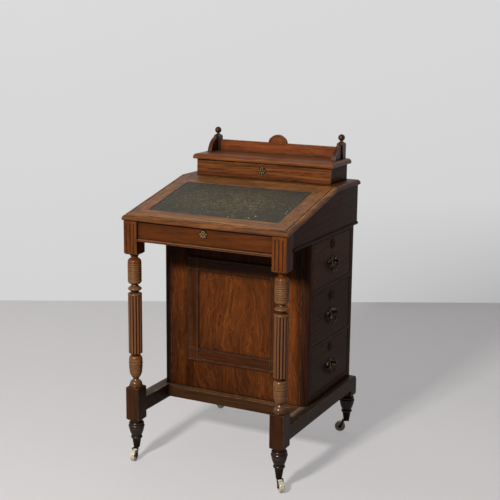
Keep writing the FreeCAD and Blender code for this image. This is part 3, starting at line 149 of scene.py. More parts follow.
class Graph:
    def __init__(self, name):
        self.material = bpy.data.materials.new(name)
        self.material.use_nodes = True
        self.tree = self.material.node_tree
        self.tree.nodes.clear()

    def node(self, kind, sockets=None, **settings):
        # settings come before sockets, and the node's first output comes back
        made = self.tree.nodes.new("ShaderNode" + kind)
        for place, (position, colour) in enumerate(settings.pop("stops", ())):
            elements = made.color_ramp.elements
            element = elements[place] if place < len(elements) else elements.new(1)
            element.position = position
            element.color = (*colour, 1)
        for key, value in settings.items():
            setattr(made, key, value)
        for key, value in (sockets or {}).items():
            if isinstance(value, Wire):
                self.tree.links.new(value.socket, made.inputs[key])
            else:
                made.inputs[key].default_value = value
        return Wire(self, made.outputs[0]) if made.outputs else None

    def place(self):
        return self.node("TexCoord").out("Object")

    def normal(self):
        return self.node("NewGeometry").out("Normal")

    def turn(self, vector, angles, shift=(0, 0, 0)):
        angles = [math.radians(angle) for angle in angles]
        return self.node("Mapping", {"Vector": vector, "Rotation": angles, "Location": shift})

    def stretch(self, vector, scale):
        return self.node("VectorMath", {0: vector, 1: scale}, operation="MULTIPLY")

    def axes(self, vector=None):
        # the three parts of a vector, or of the place on the object where none is given
        split = self.node("SeparateXYZ", {0: vector or self.place()})
        return [split.out(axis) for axis in "XYZ"]

    def noise(self, vector, scale, detail=3, rough=0.5, distortion=0.0, out="Fac"):
        # a scale of three numbers stretches the pattern
        if isinstance(scale, tuple):
            vector, scale = self.stretch(vector, scale), 1
        return self.node("TexNoise", {
            "Vector": vector, "Scale": scale, "Detail": detail, "Roughness": rough,
            "Distortion": distortion}).out(out)

    def spots(self, plan):
        return self.noise(self.place(), *plan)

    def cells(self, vector, scale, feature="DISTANCE_TO_EDGE"):
        return self.node("TexVoronoi", {"Vector": vector, "Scale": scale},
                         feature=feature).out("Distance")

    def waves(self, vector, settings, sockets):
        return self.node("TexWave", {"Vector": vector, **sockets}, **settings).out("Fac")

    def span(self, value, low, high, toLow=0.0, toHigh=1.0):
        return self.node("MapRange", {"Value": value, "From Min": low, "From Max": high,
                                      "To Min": toLow, "To Max": toHigh})

    def line(self, value, place, outer, inner):
        # 1 on a line where the value reaches the place, fading out to its half width
        return self.span((value - place).size(), outer, inner)

    def ramp(self, value, stops):
        return self.node("ValToRGB", {0: value}, stops=stops)

    def mix(self, factor, first, second, how="MIX"):
        return self.node("Mix", {0: factor, 6: colourOf(first), 7: colourOf(second)},
                         data_type="RGBA", blend_type=how).out(2)

    def lay(self, colour, mask, look, kind):
        # one of a look's colours over another where the mask shows
        return self.mix(mask * look[kind + "Share"], colour, look[kind + "Colour"])

    def tint(self, colour, by):
        return self.mix(1.0, colour, by, "MULTIPLY")

    def shade(self, colour, value):
        # brightens or darkens a colour by a value that may change over the surface
        return self.tint(colour, self.node("CombineColor", {0: value, 1: value, 2: value}))

    def softEdge(self, radius):
        return self.node("Bevel", {"Radius": radius}, samples=shaderSamples)

    def flatness(self, soft):
        # 1 on a flat face, less where the softened normal turns away at an edge
        return self.node("VectorMath", {0: soft, 1: self.normal()},
                         operation="DOT_PRODUCT").out("Value")

    def crevice(self, reach, low, high):
        around = self.node("AmbientOcclusion", {"Distance": reach}, samples=shaderSamples)
        return self.span(around.out("AO"), low, high)

    def bump(self, height, strength, distance, normal=None):
        sockets = {"Height": height, "Strength": strength, "Distance": distance}
        if normal:
            sockets["Normal"] = normal
        return self.node("Bump", sockets)

    def seen(self):
        # 1 for the rays that show a surface, straight or by way of metal and glass
        ray = self.node("LightPath")
        return strongest(*[ray.out(f"Is {kind} Ray")
                           for kind in ("Camera", "Glossy", "Transmission")])

    def blend(self, factor, first, second):
        return self.node("MixShader", {0: factor, 1: first, 2: second})

    def output(self, surface):
        self.node("OutputMaterial", {"Surface": surface})
        return self.material

    def finish(self, sockets):
        return self.output(self.node("BsdfPrincipled", sockets))


def strongest(first, *others):
    for other in others:
        first = first.maths("MAXIMUM", other)
    return first


def colourOf(value):
    return value if isinstance(value, Wire) else (*value, 1)


def srgb(red, green, blue):
    # a colour given as on a screen, 0 to 255, made linear
    return tuple(((part / 255 + 0.055) / 1.055) ** 2.4 if part > 10 else part / 255 / 12.92
                 for part in (red, green, blue))


# Walnut: the figure and lines of the wood, then wear with painted edge highlights, dirt with
# painted shade, and polish over them

grainTurns = {"x": (0, 0, 0), "y": (0, 0, -90), "z": (0, 90, 0)}

# scale, detail, roughness and distortion of each pattern, long along the grain
walnutNoise = {
    "drift": ((5, 9, 9), 2, 0.45),
    "cloud": ((2.6, 10, 10), 4, 0.58, 0.8),
    "streak": ((3.0, 46, 46), 5, 0.68, 0.7),
    "line": ((1.1, 74, 74), 5, 0.66, 1.3),
    "thin": ((1.7, 215, 215), 3, 0.58, 1.1),
    "gold": ((1.8, 135, 135), 4, 0.62, 1.0),
    "fibre": ((5, 330, 330), 4, 0.7),
    "pore": ((55, 1500, 1500), 1, 0.5),
}

walnutLook = {
    "stops": ((0.26, srgb(62, 31, 12)), (0.46, srgb(84, 43, 17)), (0.60, srgb(98, 50, 19)),
              (0.78, srgb(116, 66, 28))),
    "darkLine": srgb(36, 18, 9),
    "golden": srgb(146, 90, 40),
    "heart": (0, 0.021, 0.094),
    "ringKind": {"wave_type": "RINGS", "rings_direction": "X"},
    "ringStretch": (0.10, 1, 1),
    "rings": {"Scale": 17.0, "Distortion": 8.5, "Detail": 3.0, "Detail Scale": 0.9,
              "Detail Roughness": 0.62},
    "ringShare": 0.10, "streakShare": 0.42, "cloudShare": 0.48, "streakEase": 0.07,
    "lineShows": (0.56, 0.74),
    "thinShows": (0.54, 0.68),
    "goldShows": (0.56, 0.74),
    "poreShows": (0.60, 0.68),
    "line": 0.51, "gold": 0.27, "pore": 0.40,
    "fibreLevel": (0.25, 0.75, -0.20, 0.20),
    "cloudLevel": (0.3, 0.7, -0.16, 0.16),
}

finishLook = {
    # the pale of worn edges, partly a painted highlight on the arrises
    "worn": srgb(168, 120, 76),
    # the dark of dirt and painted shade in corners and grooves
    "grimeAndShade": srgb(18, 10, 7),
    "edgeRadius": 0.0018, "edgeShows": (0.998, 0.95),
    "patches": (38, 3, 0.6),
    "patchShows": (0.38, 0.56),
    "wear": 0.55,
    "corner": (0.020, 0.90, 0.36),
    "groove": (0.004, 0.82, 0.40),
    "dirtAndShade": 0.86,
    "roughness": (0.3, 0.7, 0.31, 0.45),
    "poreRough": 0.12, "grimeAndShadeRough": 0.25, "fibreRise": 0.5,
    "bump": (0.16, 0.0004),
    "coatShare": 0.3, "coatRough": 0.24,
}

eyeLook = {
    "warp": ((16, 16, 7), 4, 0.66, 1.2),
    "warpAcross": 0.075, "warpUp": 0.05, "squash": 0.42, "rings": 520, "waver": 16,
}

# pale dust and painted sheen on upward faces
dustAndSheenLook = {"facing": (0.55, 0.95), "colour": srgb(150, 128, 106)}


def growthEye(graph, eye):
    # oval growth lines round a point of an upright panel
    across, _, up = graph.axes()
    warp = graph.spots(eyeLook["warp"]) - 0.5
    across = across - eye["across"] + warp * eyeLook["warpAcross"]
    up = (up - eye["up"]) * eyeLook["squash"] + warp * eyeLook["warpUp"]
    distance = (across * across + up * up).root()
    wave = (distance * eyeLook["rings"] + warp * eyeLook["waver"]).maths("SINE")
    return wave * graph.span(distance, eye["reach"], 0.0) * eye["share"]


def walnutColour(graph, grain, shift, tone, streaks=1.0, tilt=(0, 3.5, 2.5), waves=0.006,
                 eyes=()):
    # a tilt cuts the board slantwise through the growth rings, and waves make its grain wander
    look = walnutLook
    straight = graph.turn(graph.place(), grainTurns[grain], shift)
    drift = graph.noise(straight, *walnutNoise["drift"], out="Color")
    turned = graph.node("VectorMath", {0: drift, 1: (0, waves, waves), 2: straight},
                        operation="MULTIPLY_ADD")
    board = graph.turn(turned, tilt, look["heart"])
    rings = graph.waves(graph.stretch(board, look["ringStretch"]), look["ringKind"], look["rings"])
    cloud, streak, fibre, pore = (graph.noise(turned, *walnutNoise[kind])
                                  for kind in ("cloud", "streak", "fibre", "pore"))
    figure = (rings * look["ringShare"] + streak * look["streakShare"]
              + cloud * look["cloudShare"])
    for eye in eyes:
        figure = figure + growthEye(graph, eye)
    colour = graph.ramp(figure, look["stops"])
    ease = (streaks - 1) * look["streakEase"]

    def drawn(kind, vector):
        low, high = look[kind + "Shows"]
        return graph.span(graph.noise(vector, *walnutNoise[kind]), low - ease, high - ease)

    lines = strongest(drawn("line", turned), drawn("thin", board)) * (look["line"] * streaks)
    colour = graph.mix(lines.clamped(), colour, look["darkLine"])
    colour = graph.mix(drawn("gold", turned) * (look["gold"] * streaks), colour, look["golden"])
    level = 1.0 + graph.span(fibre, *look["fibreLevel"]) + graph.span(cloud, *look["cloudLevel"])
    colour = graph.shade(colour, level * tone)
    pore = graph.span(pore, *look["poreShows"])
    return graph.mix(pore * look["pore"], colour, look["darkLine"]), fibre, pore, cloud


def walnutFinish(graph, colour, values, sheen, wear=1.0, lines=None, coat=None, gloss=0.0):
    # lines adds painted shade lines and dark joints, which darken as the corners do
    look = finishLook
    fibre, pore, cloud = values
    soft = graph.softEdge(look["edgeRadius"])
    # pale worn edges: wear, and a painted highlight along the arrises
    worn = graph.span(graph.flatness(soft), *look["edgeShows"])
    worn = worn * graph.span(graph.spots(look["patches"]), *look["patchShows"])
    colour = graph.mix((worn * (look["wear"] * wear)).clamped(), colour, look["worn"])
    # darker in corners and grooves by ambient occlusion: dirt, and painted shade
    grimeAndShade = strongest(graph.crevice(*look["corner"]), graph.crevice(*look["groove"]))
    grimeAndShade = grimeAndShade * look["dirtAndShade"]
    if lines:
        grimeAndShade = strongest(grimeAndShade, lines)
    rough = graph.span(cloud, *look["roughness"]) + pore * look["poreRough"]
    return graph.finish({
        "Base Color": graph.mix(grimeAndShade, colour, look["grimeAndShade"]),
        "Roughness": (rough + grimeAndShade * look["grimeAndShadeRough"] - gloss).clamped(),
        "Normal": graph.bump(fibre * look["fibreRise"] - pore, *look["bump"], soft),
        "Specular IOR Level": sheen,
        "Coat Weight": sheen * look["coatShare"] if coat is None else coat,
        "Coat Roughness": look["coatRough"]})


plinthTint = (0.86, 1.28, 2.2)

plainWoods = {
    "endWalnut": {"grain": "y", "shift": (0.25, 0.57, 0.33), "tone": 0.9, "sheen": 0.04},
    "topWalnut": {"grain": "x", "shift": (0.9, 0.13, 0.05), "tone": 1.18, "sheen": 0.20,
                  "tint": (1.2, 1.25, 1.1), "streaks": 1.3},
    "shelfWalnut": {"grain": "x", "shift": (0.9, 0.13, 0.05), "tone": 1.0, "sheen": 0.07,
                    "tint": (1.2, 1.2, 1.1), "streaks": 1.3},
    "uprightWalnut": {"grain": "z", "shift": (0.6, 0.21, 0.4), "tone": 0.92, "sheen": 0.06},
    "postWalnut": {"grain": "z", "shift": (0.2, 0.4, 0.9), "tone": 0.60, "sheen": 0.22,
                   "tint": (0.98, 1.08, 1.35), "streaks": 0.6, "wear": 1.5},
    "sideWalnut": {"grain": "y", "shift": (0.1, 0.4, 0.2), "tone": 0.76, "sheen": 0.03,
                   "streaks": 0.5},
    "runnerWalnut": {"grain": "y", "shift": (0.7, 0.3, 0.1), "tone": 0.58, "sheen": 0.05,
                     "tint": plinthTint, "dust": 0.62},
    "plinthWalnut": {"grain": "x", "shift": (0.2, 0.7, 0.5), "tone": 0.56, "sheen": 0.05,
                     "tint": plinthTint, "wear": 1.3, "dust": 0.10},
    "mouldedWalnut": {"grain": "x", "shift": (0.5, 0.15, 0.25), "tone": 0.62, "sheen": 0.02,
                      "wear": 0.8},
}


def plainWood(name, grain, shift, tone, sheen, tint=None, streaks=1.0, wear=1.0, dust=0.0):
    graph = Graph(name)
    colour, *values = walnutColour(graph, grain, shift, tone, streaks)
    if tint:
        colour = graph.tint(colour, tint)
    # paler on upward faces: dust, and a painted sheen where light falls on the tops
    if dust:
        up = graph.axes(graph.normal())[2]
        lying = graph.span(up, *dustAndSheenLook["facing"]) * dust
        colour = graph.mix(lying, colour, dustAndSheenLook["colour"])
    return walnutFinish(graph, colour, values, sheen, wear)


stileLook = {
    "wood": {"grain": "z", "shift": (0.6, 0.21, 0.4), "tone": 0.47},
    "tint": (1.0, 1.40, 3.2),
    "sides": (-0.1, 0.1, 0.75, 1.0),
    "rounded": (0.2360, 0.2425),
    "rubbed": 1.5, "sheen": 0.015,
}


def stileWood():
    # the left posts are darker, and the rounded corners are painted paler, as painted light
    graph = Graph("stileWalnut")
    colour, *values = walnutColour(graph, **stileLook["wood"])
    across = graph.axes()[0]
    level = graph.span(across, *stileLook["sides"])
    # painted light on the rounded corners
    level = level + graph.span(across.size(), *stileLook["rounded"]) * stileLook["rubbed"]
    colour = graph.shade(graph.tint(colour, stileLook["tint"]), level)
    return walnutFinish(graph, colour, values, stileLook["sheen"])


drawerWoods = {
    "firstDrawerWalnut": {"shift": (0.33, 0.12, 0.9), "tone": 1.14, "streaks": 0.4,
                          "tint": (1, 1.05, 1.0)},
    "drawerWalnut": {"shift": (0.73, 0.42, 0.5), "tone": 0.58, "streaks": 0.3,
                     "tint": (0.96, 1.05, 1.4)},
}

drawerLook = {"backEdge": (0.2325, 0.2360), "dark": 0.9, "sheen": 0.03, "wear": 1.5}


def drawerWood(name, shift, tone, streaks, tint):
    # a dark line where the front meets the back post
    graph = Graph(name)
    colour, *values = walnutColour(graph, "y", shift, tone, streaks)
    line = graph.span(graph.axes()[1], *drawerLook["backEdge"]) * drawerLook["dark"]
    return walnutFinish(graph, graph.tint(colour, tint), values, drawerLook["sheen"],
                        drawerLook["wear"], line)


apronLook = {
    "wood": {"grain": "x", "shift": (0.31, 0.02, 0.11), "tone": 0.90, "streaks": 0.8},
    "highlights": ((0.6886, 0.0015, 0.0002), (0.6837, 0.0014, 0.0002)),
    "highlightShare": 0.36, "highlightColour": srgb(158, 112, 82),
    "groove": (0.6914, 0.0017, 0.0006), "grooveShade": 0.8,
    "quirk": (0.6861, 0.0013, 0.0002), "quirkShade": 0.5,
    "flapShadow": (0.734, 0.742),
    "frontFacing": -0.5, "sheen": 0.06,
}


def apronWood():
    # painted highlights and painted shade lines along the bead, painted shadow under the flap's lip
    look = apronLook
    graph = Graph("apronWalnut")
    colour, *values = walnutColour(graph, **look["wood"])
    up = graph.axes()[2]
    # painted highlights along the bead's crowns
    highlights = strongest(*[graph.line(up, *highlight) for highlight in look["highlights"]])
    colour = graph.lay(colour, highlights, look, "highlight")
    # painted shade in the groove and quirk, and painted shadow under the flap's lip on the front
    # faces
    front = graph.axes(graph.normal())[1] < look["frontFacing"]
    dark = strongest(graph.line(up, *look["groove"]) * look["grooveShade"],
                     graph.line(up, *look["quirk"]) * look["quirkShade"],
                     graph.span(up, *look["flapShadow"]) * front)
    return walnutFinish(graph, colour, values, look["sheen"], lines=dark)


galleryLook = {
    "wood": {"grain": "x", "shift": (0.4, 0.5, 0.6), "tone": 1.52, "streaks": 1.2},
    "tint": (1.10, 1.06, 1.25),
    "clouds": ((16, 9, 24), 3, 0.55, 0.6),
    "cloudLevel": (0.3, 0.7, 0.80, 1.16),
    "crestMiddle": 0.930, "crestLine": (0.0268, 0.0011, 0.00044),
    "lineStart": (0.004, 0.007),
    "rimShade": 0.85, "sheen": 0.12, "wear": 1.3,
}


def galleryWood():
    # a dark arc of painted shade follows the crest's edge
    look = galleryLook
    graph = Graph("galleryWalnut")
    colour, *values = walnutColour(graph, **look["wood"])
    clouds = graph.span(graph.spots(look["clouds"]), *look["cloudLevel"])
    colour = graph.shade(graph.tint(colour, look["tint"]), clouds)
    across, _, up = graph.axes()
    up = up - look["crestMiddle"]
    # painted shade along the crest's rim
    arc = graph.line((across * across + up * up).root(), *look["crestLine"])
    line = arc * graph.span(up, *look["lineStart"]) * look["rimShade"]
    return walnutFinish(graph, colour, values, look["sheen"], look["wear"], line)


boxLook = {
    "wood": {"grain": "x", "shift": (0.05, 0.27, 0.03), "tone": 1.36, "streaks": 1.7,
             "tilt": (0, 2.0, 3.0)},
    "tint": (1.04, 1.12, 1.16),
    "lidShadow": (0.8795, 0.8825), "underShade": 0.8,
    "footLine": (0.8430, 0.0010, 0.0004),
    "footLineDark": 0.6, "sheen": 0.10, "wear": 1.6,
}


def boxFrontWood():
    # painted shadow under the lid's lip and a dark line near the foot
    look = boxLook
    graph = Graph("boxWalnut")
    colour, *values = walnutColour(graph, **look["wood"])
    up = graph.axes()[2]
    # painted shadow under the lid's lip
    lines = strongest(graph.span(up, *look["lidShadow"]) * look["underShade"],
                      graph.line(up, *look["footLine"]) * look["footLineDark"])
    return walnutFinish(graph, graph.tint(colour, look["tint"]), values, look["sheen"],
                        look["wear"], lines)


panelLook = {
    "wood": {"grain": "z", "shift": (0.25, 0.055, 0.0), "tone": 0.99, "streaks": 1.3,
             "tilt": (0, 5.5, 3.0), "waves": 0.11,
             "eyes": ({"across": -0.035, "up": 0.47, "reach": 0.10, "share": 0.06},
                      {"across": 0.02, "up": 0.20, "reach": 0.07, "share": 0.05})},
    "caseShadow": (0.560, 0.615, 1.0, 0.40),
    "nearPlinth": (0.17, 0.40, 0.72, 1.0),
    "leftShadow": (-0.228, -0.180, 0.42, 1.02),
    "besideFrame": (-0.186, -0.160),
    "frameEdge": -0.14, "besideDark": 0.40,
    "heights": (0.24, 0.54),
    "rightSide": (0.172, 0.188, 1.0), "rightLight": (1.54, 1.07),
    "rightShadow": (0.200, 0.213, 1.0, 0.42),
    "shadowSlant": (-0.008, 0.003),
    "sheen": 0.04,
}


def panelWood():
    # painted shade under the case's overhang, the left leg's painted shadow beside the left stile,
    # painted light and the right leg's painted shadow on the right, and darker toward the plinth
    look = panelLook
    graph = Graph("panelWalnut")
    colour, *values = walnutColour(graph, **look["wood"])
    across, _, up = graph.axes()
    # painted shade under the case's overhang, and darker toward the plinth
    level = graph.span(up, *look["caseShadow"]) * graph.span(up, *look["nearPlinth"])
    # the left leg's painted shadow, deeper beside the frame's left band
    beside = graph.span(across, *look["besideFrame"]) * (across < look["frameEdge"])
    left = graph.span(across, *look["leftShadow"]) * (1.0 - beside * look["besideDark"])
    # painted light on the right strip, then the right leg's painted shadow, its edge slanting with
    # height
    pale = graph.span(up, *look["heights"], *look["rightLight"])
    edge = across + graph.span(up, *look["heights"], *look["shadowSlant"])
    right = graph.span(across, *look["rightSide"], pale) * graph.span(edge, *look["rightShadow"])
    return walnutFinish(graph, graph.shade(colour, level * left * right), values, look["sheen"])


joinShift = 0.37


def joinedWood(name, look, chooser, stain, lines=None):
    # two grain directions on one node: the chooser gives 1 where the second one shows
    graph = Graph(name)
    moved = tuple(part + joinShift for part in look["shift"])
    first, second = (walnutColour(graph, grain, shift, look["tone"], look["streaks"])
                     for grain, shift in zip(look["grains"], (look["shift"], moved)))
    picked = chooser(graph)
    # stain lays the node's marks over its colour, painted light and shade among them
    colour = stain(graph, graph.mix(picked, first[0], second[0]))
    values = [a + picked * (b - a) for a, b in zip(first[1:], second[1:])]
    return walnutFinish(graph, colour, values, look["sheen"],
                        lines=lines(graph) if lines else None)


flapPlan = {"angle": 12.8, "hinge": (0, 0.067, 0.835), "outer": 0.268, "rail": 0.058,
            "length": 0.3528}

flapLook = {
    "grains": ("x", "y"),
    "shift": (0.12, 0.34, 0.2),
    "tone": 1.08, "streaks": 1.5, "sheen": 0.16,
    "groove": (0.0127, 0.0019, 0.0010), "grooveShade": 0.9,
    "underneath": (-0.0125, -0.0145),
    "underEdge": (0.012, 0.006), "underShade": 0.85,
    "faded": (1.78, 2.45, 2.85),
    "rubs": ((9, 26, 26), 4, 0.6, 0.6),
    "rubLevel": (0.3, 0.7, 0.74, 1.20),
    "sideward": (0.0, 0.004),
    "sideLight": 0.25,
    "outside": (0.0126, 0.0112),
    "keptShows": (0.72, 0.50),
    "kept": 0.74, "frontShadeTint": (0.88, 0.88, 0.88),
    "chafes": (15, 4, 0.7, 0.4),
    "chafeShows": (0.42, 0.60),
    "arris": (0.0102, 0.0020, 0.0006), "arrisShare": 0.55,
    "arrisColour": srgb(196, 148, 104),
}


def onFlap(graph):
    # the place in the flap's own flat frame, measured from the hinge line
    moved = graph.node("VectorMath", {0: graph.place(), 1: flapPlan["hinge"]},
                       operation="SUBTRACT")
    return graph.turn(moved, (-flapPlan["angle"], 0, 0))


def flapMargins(graph):
    # how far in from the flap's side and front edges, and how high over its face
    across, along, over = graph.axes(onFlap(graph))
    return flapPlan["outer"] - across.size(), along + flapPlan["length"], over


def onSideRail(graph):
    side, front, _ = flapMargins(graph)
    return (side < flapPlan["rail"]) * (side < front)


def flapLines(graph):
    # painted shade in the groove beside the moulded edge and under the edge's lip
    side, front, over = flapMargins(graph)
    edge = side.maths("MINIMUM", front)
    under = graph.span(over, *flapLook["underneath"]) * graph.span(edge, *flapLook["underEdge"])
    return strongest(graph.line(edge, *flapLook["groove"]) * flapLook["grooveShade"],
                     under * flapLook["underShade"])


def flapStain(graph, colour):
    # a browner frame; its moulded edge is painted darker in front as painted shade and paler on the
    # side rails as painted light, with a pale arris of wear and painted highlight
    look = flapLook
    side, front, _ = flapMargins(graph)
    edge = side.maths("MINIMUM", front)
    rubbed = graph.spots(look["rubs"])
    faded = graph.shade(graph.tint(colour, look["faded"]), graph.span(rubbed, *look["rubLevel"]))
    sideward = graph.span(front - side, *look["sideward"])
    outside = graph.span(edge, *look["outside"])
    # painted light on the side rails' moulded edge
    faded = graph.shade(faded, 1.0 + sideward * outside * look["sideLight"])
    # painted shade on the moulded edge in front
    kept = outside * graph.span(rubbed, *look["keptShows"]) * (1.0 - sideward) * look["kept"]
    stained = graph.mix(kept, faded, graph.tint(colour, look["frontShadeTint"]))
    # a pale arris: wear, and a painted highlight
    chafed = graph.span(graph.spots(look["chafes"]), *look["chafeShows"])
    arris = graph.line(edge, *look["arris"]) * chafed
    return graph.lay(stained, arris, look, "arris")


bandPlan = {"half": 0.158, "band": 0.037, "bottom": 0.280, "top": 0.610, "cross": 0.042,
            "bead": 0.0075}

bandLook = {
    "grains": ("x", "z"),
    "shift": (0.2, 0.1, 0.7),
    "tone": 0.54, "streaks": 1.0, "sheen": 0.08,
    "bead": (0.00465, 0.0036), "beadShare": 0.72, "beadColour": srgb(46, 25, 16),
    "highlight": (0.0009, 0.0003), "highlightShare": 0.42, "highlightColour": srgb(112, 72, 44),
    "caseShadow": (0.585, 0.612, 1.0, 0.55),
}


def onUprightBand(graph):
    return graph.axes()[0].size() > bandPlan["half"] - bandPlan["band"]


def beadStain(graph, colour):
    # dark beads with a painted highlight along their crowns, and painted shade under the case
    plan, look = bandPlan, bandLook
    bead = plan["bead"]
    across, _, up = graph.axes()
    across = across.size()
    outerEdges = ((across, plan["half"]), (across, plan["half"] - plan["band"] + bead),
                  (up, plan["bottom"] + bead), (up, plan["top"]),
                  (up, plan["bottom"] + plan["cross"]), (up, plan["top"] - plan["cross"] + bead))
    # the beads' own dark, then a painted highlight on their crowns
    for kind in ("bead", "highlight"):
        lines = strongest(*[graph.line(value, edge - bead / 2, *look[kind])
                            for value, edge in outerEdges])
        colour = graph.lay(colour, lines, look, kind)
    # painted shade under the case's overhang
    return graph.shade(colour, graph.span(up, *look["caseShadow"]))


legWoods = {
    "legWalnutLeft": {"shift": (0.3, 0.1, 0.2), "tone": 1.14},
    "legWalnutRight": {"shift": (0.7, 0.5, 0.3), "tone": 0.98},
    "footWalnut": {"shift": (0.1, 0.2, 0.8), "tone": 1.05},
}

legPlan = {"across": 0.240, "back": -0.251, "reeds": 12, "reedBottom": 0.333, "reedTop": 0.516}

legLook = {
    "block": (0.618, 0.630), "blockPale": 0.17,
    "turnedTop": (0.630, 0.600), "turnedFoot": (0.232, 0.245),
    "reedEnds": (0.006, 0.004, -0.002),
    "golden": srgb(138, 90, 47),
    "goldenShare": 0.44, "reedGolden": 0.10,
    "patches": ((34, 34, 70), 3, 0.6, 0.4),
    "patchShows": (0.42, 0.62),
    "fadedColour": srgb(116, 88, 60), "fadedShare": 0.55,
    "low": (0.262, 0.228), "lowTint": (0.46, 0.62, 1.05),
    "foot": (0.129, 0.123), "footColour": srgb(30, 23, 19), "footShare": 0.80,
    "hollow": (-0.20, -0.75), "hollowEnds": (0.004, 0.0, -0.002),
    "hollowShade": 0.74, "coat": 0.7, "gloss": 0.04, "sheen": 0.06, "wear": 0.75,
}


def alongReeds(graph, up, low, high, over):
    # 1 along the reeds, rising above their foot and falling between two heights at their top
    bottom, top = legPlan["reedBottom"], legPlan["reedTop"]
    return graph.span(up, bottom, bottom + low) * graph.span(up, top + high, top + over)


def reedHollows(graph):
    # the hollows between the reeds, where shade is painted
    across, back, up = graph.axes()
    across = across.size() - legPlan["across"]
    turn = (back - legPlan["back"]).maths("ARCTAN2", across)
    hollow = graph.span((turn * legPlan["reeds"]).maths("COSINE"), *legLook["hollow"])
    return hollow * alongReeds(graph, up, *legLook["hollowEnds"])


def legWood(name, shift, tone):
    # golden where it is turned, darker toward the floor, where polish and dirt have built up
    look = legLook
    graph = Graph(name)
    colour, *values = walnutColour(graph, "z", shift, tone)
    up = graph.axes()[2]
    colour = graph.shade(colour, 1.0 + graph.span(up, *look["block"]) * look["blockPale"])
    golden = graph.span(up, *look["turnedTop"]) * graph.span(up, *look["turnedFoot"])
    reeded = alongReeds(graph, up, *look["reedEnds"])
    share = golden * (look["goldenShare"] - reeded * look["reedGolden"])
    colour = graph.mix(share, colour, look["golden"])
    patches = graph.span(graph.spots(look["patches"]), *look["patchShows"])
    colour = graph.lay(colour, golden * (1.0 - reeded) * patches, look, "faded")
    colour = graph.mix(graph.span(up, *look["low"]), colour, graph.tint(colour, look["lowTint"]))
    foot = graph.span(up, *look["foot"])
    colour = graph.lay(colour, foot, look, "foot")
    facing = 1.0 - graph.node("LayerWeight", {"Blend": 0.5}).out("Facing")
    coat = (golden + foot).clamped() * facing * facing * look["coat"]
    # painted shade in the hollows between the reeds
    return walnutFinish(graph, colour, values, look["sheen"], look["wear"],
                        reedHollows(graph) * look["hollowShade"], coat, look["gloss"])


# Leather: worn green dye, wandering traces of gilt and a gilt border

leatherNoise = {
    "patch": (12, 5, 0.66, 0.8),
    "scuff": ((40, 60, 40), 5, 0.7, 1.6),
    "wander": ((24, 44, 24), 4, 0.62, 2.6),
    "speck": (190, 3, 0.6),
    "rub": (46, 4, 0.7, 1.0),
    "kept": (60, 3, 0.6),
    "sparse": (31, 2, 0.5),
    "crease": ((120, 160, 120), 4, 0.7),
}

leatherLook = {
    "green": srgb(40, 38, 25),
    "teal": srgb(31, 35, 29),
    "brown": srgb(92, 70, 41),
    "scrollColour": srgb(168, 142, 88),
    "rubColour": srgb(122, 100, 60),
    "borderColour": srgb(31, 41, 36),
    "lineColour": srgb(150, 122, 70),
    "flakeColour": srgb(206, 190, 150),
    "rimColour": srgb(30, 22, 15),
    "halfWidth": 0.210, "halfDepth": 0.1184, "middle": -0.1764,
    "lines": ((0.010, 0.0011), (0.0135, 0.0006), (0.024, 0.0006)),
    "lineCore": 0.4, "lineShare": 0.4, "lineRough": 0.15,
    "patchShows": (0.40, 0.62),
    "scuffShows": (0.46, 0.68), "scuffShare": 0.38,
    "backRun": (0.03, 0.118),
    "backScuff": 0.3, "fadeDepth": 3.2, "fadeRun": (0.27, 0.06),
    "scroll": (0.5, 0.034, 0.010),
    "speckShows": (0.44, 0.56),
    "scrollShare": 0.80,
    "rubShows": (0.54, 0.70),
    "rubFade": 0.8, "rubEverywhere": 0.16, "rubShare": 0.42,
    "borderRun": (0.045, 0.004), "borderShare": 0.42,
    "keptShows": (0.42, 0.64),
    "flakes": 95,
    "flakeShows": (0.24, 0.12), "flakeAcross": (-0.12, 0.16), "flakeAlong": (0.08, -0.09),
    "sparseShows": (0.54, 0.62),
    "flakeCorner": 1.3, "flakeEverywhere": 0.12, "flakeShare": 0.9,
    "rimRun": (0.007, 0.0),
    "rimShare": 0.5, "pebbles": 620,
    "pebbleEdge": (0.0, 0.25),
    "pebbleRise": 0.6, "creaseRise": 0.7, "lineDepth": 0.8,
    "bump": (0.35, 0.0005),
    "roughness": (0.35, 0.7, 0.48, 0.72),
    "sheen": 0.40,
}


